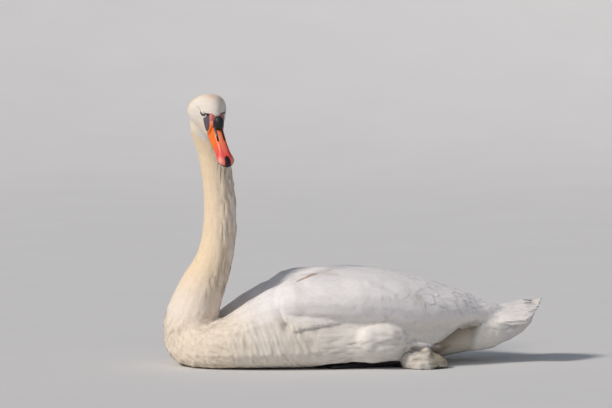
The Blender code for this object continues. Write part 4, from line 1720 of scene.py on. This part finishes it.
# ---------------------------------------------------------------- bill, knob and eyes
@dataclass
class Bill:
    """Upper and lower bill and the knob, in the head's own axes and millimetres; the grain is in metres."""

    grain: float = 0.0008
    ridge_line: tuple = ((-12, 31), (20, 24), (55, 14), (89, 7))
    nostril: float = 6.6
    orange: str = "F4741C"
    coral: str = "E5504A"
    salmon: str = "F48A68"
    rim: str = "EFA08E"
    black: str = "141216"
    dark_red: str = "7A2A20"
    maroon: str = "7E2622"
    knob_black: str = "19181C"

    def fine(self, name: str, node: str) -> bpy.types.Object:
        """A fine mesh of a CAD node.

        Args:
            name: name of the new piece.
            node: the CAD node.

        Returns:
            The new object.
        """
        thing = copy_of(name, node)
        apply(thing, "REMESH", mode="VOXEL", voxel_size=self.grain, adaptivity=0.0)
        apply(thing, "SMOOTH", factor=0.5, iterations=4)
        return thing

    def nail(self, own: np.ndarray) -> np.ndarray:
        """How far each place belongs to the black nail at the bill's tip.

        Args:
            own: places in the head's axes.

        Returns:
            Shares from 0 to 1.
        """
        x, y, z = own.T
        half = 4.7 + 0.9 * step(74, 88, x)
        return step(1.04, 0.96, np.hypot(np.maximum(78.5 - x, 0) / 7.0, np.abs(y) / half)) * (z > 1.0)

    def upper(self) -> bpy.types.Object:
        """The upper bill, with nostrils, nail and black edges.

        Returns:
            The finished piece.
        """
        thing = self.fine("upper_bill_horn", "bill_upper")
        own = AXES.local(points_of(thing))
        x, y, z = own.T
        side = np.abs(y)
        beside = side - self.nostril
        nail = self.nail(own)
        # the nostril is a slit in a shallow black hollow beside the ridge
        slit = np.exp(-(((x - 32) / 5.2) ** 4)) * bell(beside, 1.25) * (z > 8)
        hollow = np.exp(-(((x - 27) / 12.0) ** 4)) * bell(beside, 2.8) * (z > 8)
        ring = bell(nail - 0.5, 0.25) * (x > 66) * (z > 1.0)
        normals = AXES.local(points_of(thing) + normals_of(thing) * MM) - own
        own = own + normals * (0.45 * nail - 0.25 * ring - 1.9 * slit - 0.5 * hollow)[:, None]
        # the sides fall away flat from the ridge
        middle = np.clip((own[:, 2] - 1.5) / np.maximum(height_on(self.ridge_line, x) - 1.5, 1), 0, 1)
        own[:, 1] *= 1 - 0.17 * np.sin(np.pi * middle) * step(80, 55, x)
        move_points(thing, AXES.world(own))
        # painted highlight: a pale edge along the sides near the tip
        rim = step(60, 76, x) * bell(side - 13.4, 2.6) + 0.7 * step(70, 80, x) * step(6.2, 8.0, side)
        patch = np.hypot(np.maximum(np.abs(x - 24) - 11, 0) / 3.4, beside / 2.3)
        colour = layered(
            np.tile(linear(self.orange), (len(own), 1)),
            (self.coral, step(24, 66, x)),
            # painted highlight: the ridge of the bill lighter
            (self.salmon, 0.55 * step(6, 2.5, side) * span(x, (8, 18), (50, 74)) * (z > 8)),
            (self.rim, rim * 0.75),
            # painted shade: the far side of the bill darker
            (self.maroon, 0.55 * step(3.0, 10.0, y) * step(86, 70, x)),
            (self.black, step(1.15, 0.85, patch) * (z > 7)),
            (self.black, step(16.5, 14.0, x) * step(9.5, 8.0, side) * step(20, 23, z)),
            (self.black, step(1.9, 0.9, z) * step(2, 8, x)),
            (self.black, nail),
        )
        paint(thing, "tint", np.clip(colour, 0, 1))
        return settle(thing, BillHorn().material(), "bill_horn", "bill_upper")

    def lower(self) -> bpy.types.Object:
        """The lower bill, dark with a trace of red at the side.

        Returns:
            The finished piece.
        """
        thing = self.fine("lower_bill_horn", "bill_lower")
        x, _, z = AXES.local(points_of(thing)).T
        red = 0.6 * span(z, (-9.5, -6), (-4.5, -3.0)) * span(x, (12, 25), (60, 74))
        colour = layered(np.tile(linear(self.black), (len(x), 1)), (self.dark_red, red))
        paint(thing, "tint", np.clip(colour, 0, 1))
        return settle(thing, BillHorn(name="lower bill horn, satin").material(), "black_horn", "bill_lower")

    def knob(self) -> bpy.types.Object:
        """The fleshy knob, finely wrinkled, with its top raised forward.

        Returns:
            The finished piece.
        """
        thing = self.fine("knob_flesh", "bill_knob")
        points = points_of(thing)
        creased = points * np.array([1.0, 1.0, 0.6])
        points += normals_of(thing) * (0.00028 * ripple(creased, 0.0032, 2))[:, None]
        own = AXES.local(points)
        low, high = own[:, 2].min(), own[:, 2].max()
        raised = step(0.35, 1.0, (own[:, 2] - low) / (high - low))
        points = AXES.world(own + raised[:, None] * np.array([-1.2, 0.0, 3.0]))
        move_points(thing, points)
        shade = 1 + 0.25 * ripple(points, 0.006, 4)
        paint(thing, "tint", np.clip(linear(self.knob_black) * shade[:, None], 0, 1))
        finish = BillHorn(name="bare black knob skin", roughness=(0.42, 0.58), shades=(0.85, 1.15))
        return settle(thing, finish.material(), "black_horn", "bill_knob")

    def build(self) -> None:
        """Makes the three pieces."""
        for piece in (self.upper, self.lower, self.knob):
            piece()


@dataclass
class Eye:
    """One eyeball with iris, pupil and a slight bulge of the cornea, in millimetres."""

    side: Side
    bulge: float = 0.5
    edge: str = "1A1412"
    iris: str = "26170F"
    pupil: str = "060505"

    def build(self, material: bpy.types.Material) -> bpy.types.Object:
        """Makes the eye.

        Args:
            material: its finish.

        Returns:
            The finished piece.
        """
        word = self.side.name.lower()
        bpy.ops.object.select_all(action="DESELECT")
        bpy.ops.mesh.primitive_uv_sphere_add(segments=48, ring_count=28, radius=FACE.eye_radius * MM)
        thing = bpy.context.view_layer.objects.active
        thing.name = f"eyeball_{word}"
        thing.data.name = thing.name
        ball = points_of(thing) / MM
        # the sphere's pole becomes the cornea, facing out of the head
        out = Vector((0.34, self.side.value * 0.92, 0.10)).normalized()
        turn = np.array(out.to_track_quat("Z", "Y").to_matrix())
        bulge = self.bulge * np.exp(-((np.hypot(ball[:, 0], ball[:, 1]) / 3.6) ** 4)) * (ball[:, 2] > 0)
        ball = ball * (1 + bulge / FACE.eye_radius)[:, None]
        radius = np.hypot(ball[:, 0], ball[:, 1])
        colour = layered(
            np.tile(linear(self.edge), (len(ball), 1)),
            (self.iris, step(4.9, 4.5, radius) * (ball[:, 2] > 0)),
            (self.pupil, step(2.5, 2.2, radius) * (ball[:, 2] > 0)),
        )
        move_points(thing, AXES.world(ball @ turn.T + FACE.centre(self.side)))
        paint(thing, "tint", colour)
        return settle(thing, material, "eye", f"eye_{word}")


@dataclass
class Feet:
    """The webbed feet, folded under the flanks."""

    nodes: tuple[str, ...] = ("foot_left", "foot_right")

    def build(self) -> None:
        """Gives the CAD nodes their finish."""
        material = FootSkin().material()
        for node in self.nodes:
            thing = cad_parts[node]
            thing.data.materials.clear()
            thing.data.materials.append(material)
            log.info("%s: scaled skin", node)


# ---------------------------------------------------------------- studio
@dataclass(frozen=True)
class Lamp:
    """A far soft lamp: its place and how wide it looks from the swan in degrees, its strength and colour."""

    name: str
    azimuth: float
    elevation: float
    spread: float
    power: float
    colour: str


@dataclass
class Studio:
    """Floor, light and camera."""

    azimuth: float = -7.0
    elevation: float = 3.4
    distance: float = 6.0
    lens: float = 186.0
    aim: tuple[float, float] = (-0.0912, 0.302)
    lamps: tuple[Lamp, ...] = (
        Lamp("key_lamp", -64.0, 39.0, 12.0, 2.70, "FFF7EE"),
        Lamp("fill_lamp", -30.0, 44.0, 80.0, 0.48, "EAF0FF"),
    )
    lamp_distance: float = 3.0
    room: str = "D6E2F6"
    room_light: float = 0.22
    flat_radii: tuple[float, ...] = (0.02, 2.0, 4.0, 6.0)
    curve: float = 8.0
    around: int = 72

    def away(self, azimuth: float, elevation: float) -> Vector:
        """Direction from the swan towards a viewer or light.

        Args:
            azimuth: angle round the swan in degrees, 0 in front of its left side.
            elevation: angle above the floor in degrees.

        Returns:
            A unit vector.
        """
        turn, rise = math.radians(azimuth), math.radians(elevation)
        flat = math.cos(rise)
        return Vector((math.sin(turn) * flat, -math.cos(turn) * flat, math.sin(rise)))

    def place(self, thing: bpy.types.Object, back: Vector, location: Vector) -> None:
        """Puts a lamp or camera in the scene.

        Args:
            thing: the lamp or camera.
            back: direction that its back faces.
            location: where it stands.
        """
        bpy.context.scene.collection.objects.link(thing)
        thing.location = location
        thing.rotation_euler = back.to_track_quat("Z", "Y").to_euler()

    def light(self, lamp: Lamp) -> None:
        """Adds a lamp.

        Args:
            lamp: the lamp.
        """
        data = bpy.data.lights.new(lamp.name, "SUN")
        data.energy = lamp.power
        data.angle = math.radians(lamp.spread)
        data.color = tuple(linear(lamp.colour))
        back = self.away(lamp.azimuth, lamp.elevation)
        self.place(bpy.data.objects.new(lamp.name, data), back, back * self.lamp_distance)

    def floor(self) -> None:
        """Lays a plain pale floor that curves up far away, so that no horizon shows."""
        rings = [(radius, 0.0) for radius in self.flat_radii]
        end, curve = self.flat_radii[-1], self.curve
        for angle in (math.radians(4 * k) for k in range(1, 15)):
            rings.append((end + curve * math.sin(angle), curve * (1 - math.cos(angle))))
        around = self.around
        turns = [2 * math.pi * k / around for k in range(around)]
        points = [(r * math.cos(a), r * math.sin(a), h) for r, h in rings for a in turns]
        faces = [tuple(range(around))]
        for ring in range(0, (len(rings) - 1) * around, around):
            for a, b in zip(range(around), (*range(1, around), 0)):
                faces.append((ring + a, ring + a + around, ring + b + around, ring + b))
        mesh = bpy.data.meshes.new("studio_floor")
        mesh.from_pydata(points, [], faces)
        floor = bpy.data.objects.new("studio_floor", mesh)
        bpy.context.scene.collection.objects.link(floor)
        # matt wall paint, a little cloudy from the roller
        made, tree, shader = blank("pale painted floor")
        place = add(tree, "ShaderNodeTexCoord")
        cloud = add(tree, "ShaderNodeTexNoise", {"Vector": place.outputs["Object"], "Scale": 3.0})
        cloudy = {"Value": cloud.outputs["Fac"], "To Min": 0.62, "To Max": 0.66}
        tone = add(tree, "ShaderNodeMapRange", cloudy)
        fill(tree, shader, {"Base Color": tone.outputs[0], "Roughness": 0.9})
        mesh.materials.append(made)
        mesh.shade_smooth()

    def camera(self) -> bpy.types.Object:
        """Adds the camera.

        Returns:
            The camera.
        """
        data = bpy.data.cameras.new("camera")
        data.lens = self.lens
        data.sensor_width = 36.0
        data.clip_end = 100.0
        camera = bpy.data.objects.new("camera", data)
        back = self.away(self.azimuth, self.elevation)
        right = self.away(self.azimuth + 90, 0.0)
        target = right * self.aim[0] + Vector((0, 0, self.aim[1]))
        self.place(camera, back, target + back * self.distance)
        return camera

    def build(self) -> None:
        """Sets up floor, light, world and camera."""
        self.floor()
        for lamp in self.lamps:
            self.light(lamp)
        scene = bpy.context.scene
        scene.world = bpy.data.worlds.new("pale_room")
        scene.world.use_nodes = True
        sky = scene.world.node_tree.nodes["Background"]
        fill(scene.world.node_tree, sky, {"Color": (*linear(self.room), 1), "Strength": self.room_light})
        scene.view_settings.view_transform = "Standard"
        bpy.context.scene.camera = self.camera()


def main() -> None:
    """Builds the swan and its studio."""
    logging.basicConfig(level=logging.INFO, format="%(asctime)s %(message)s", stream=sys.stdout)
    skin = Skin()
    skin.build()
    Plumage(skin).build()
    skin.thin()
    Bill().build()
    eye = WetEye().material()
    for side in Side:
        Eye(side).build(eye)
    Feet().build()
    Studio().build()
    bpy.context.view_layer.update()


if __name__ == "__main__":
    main()
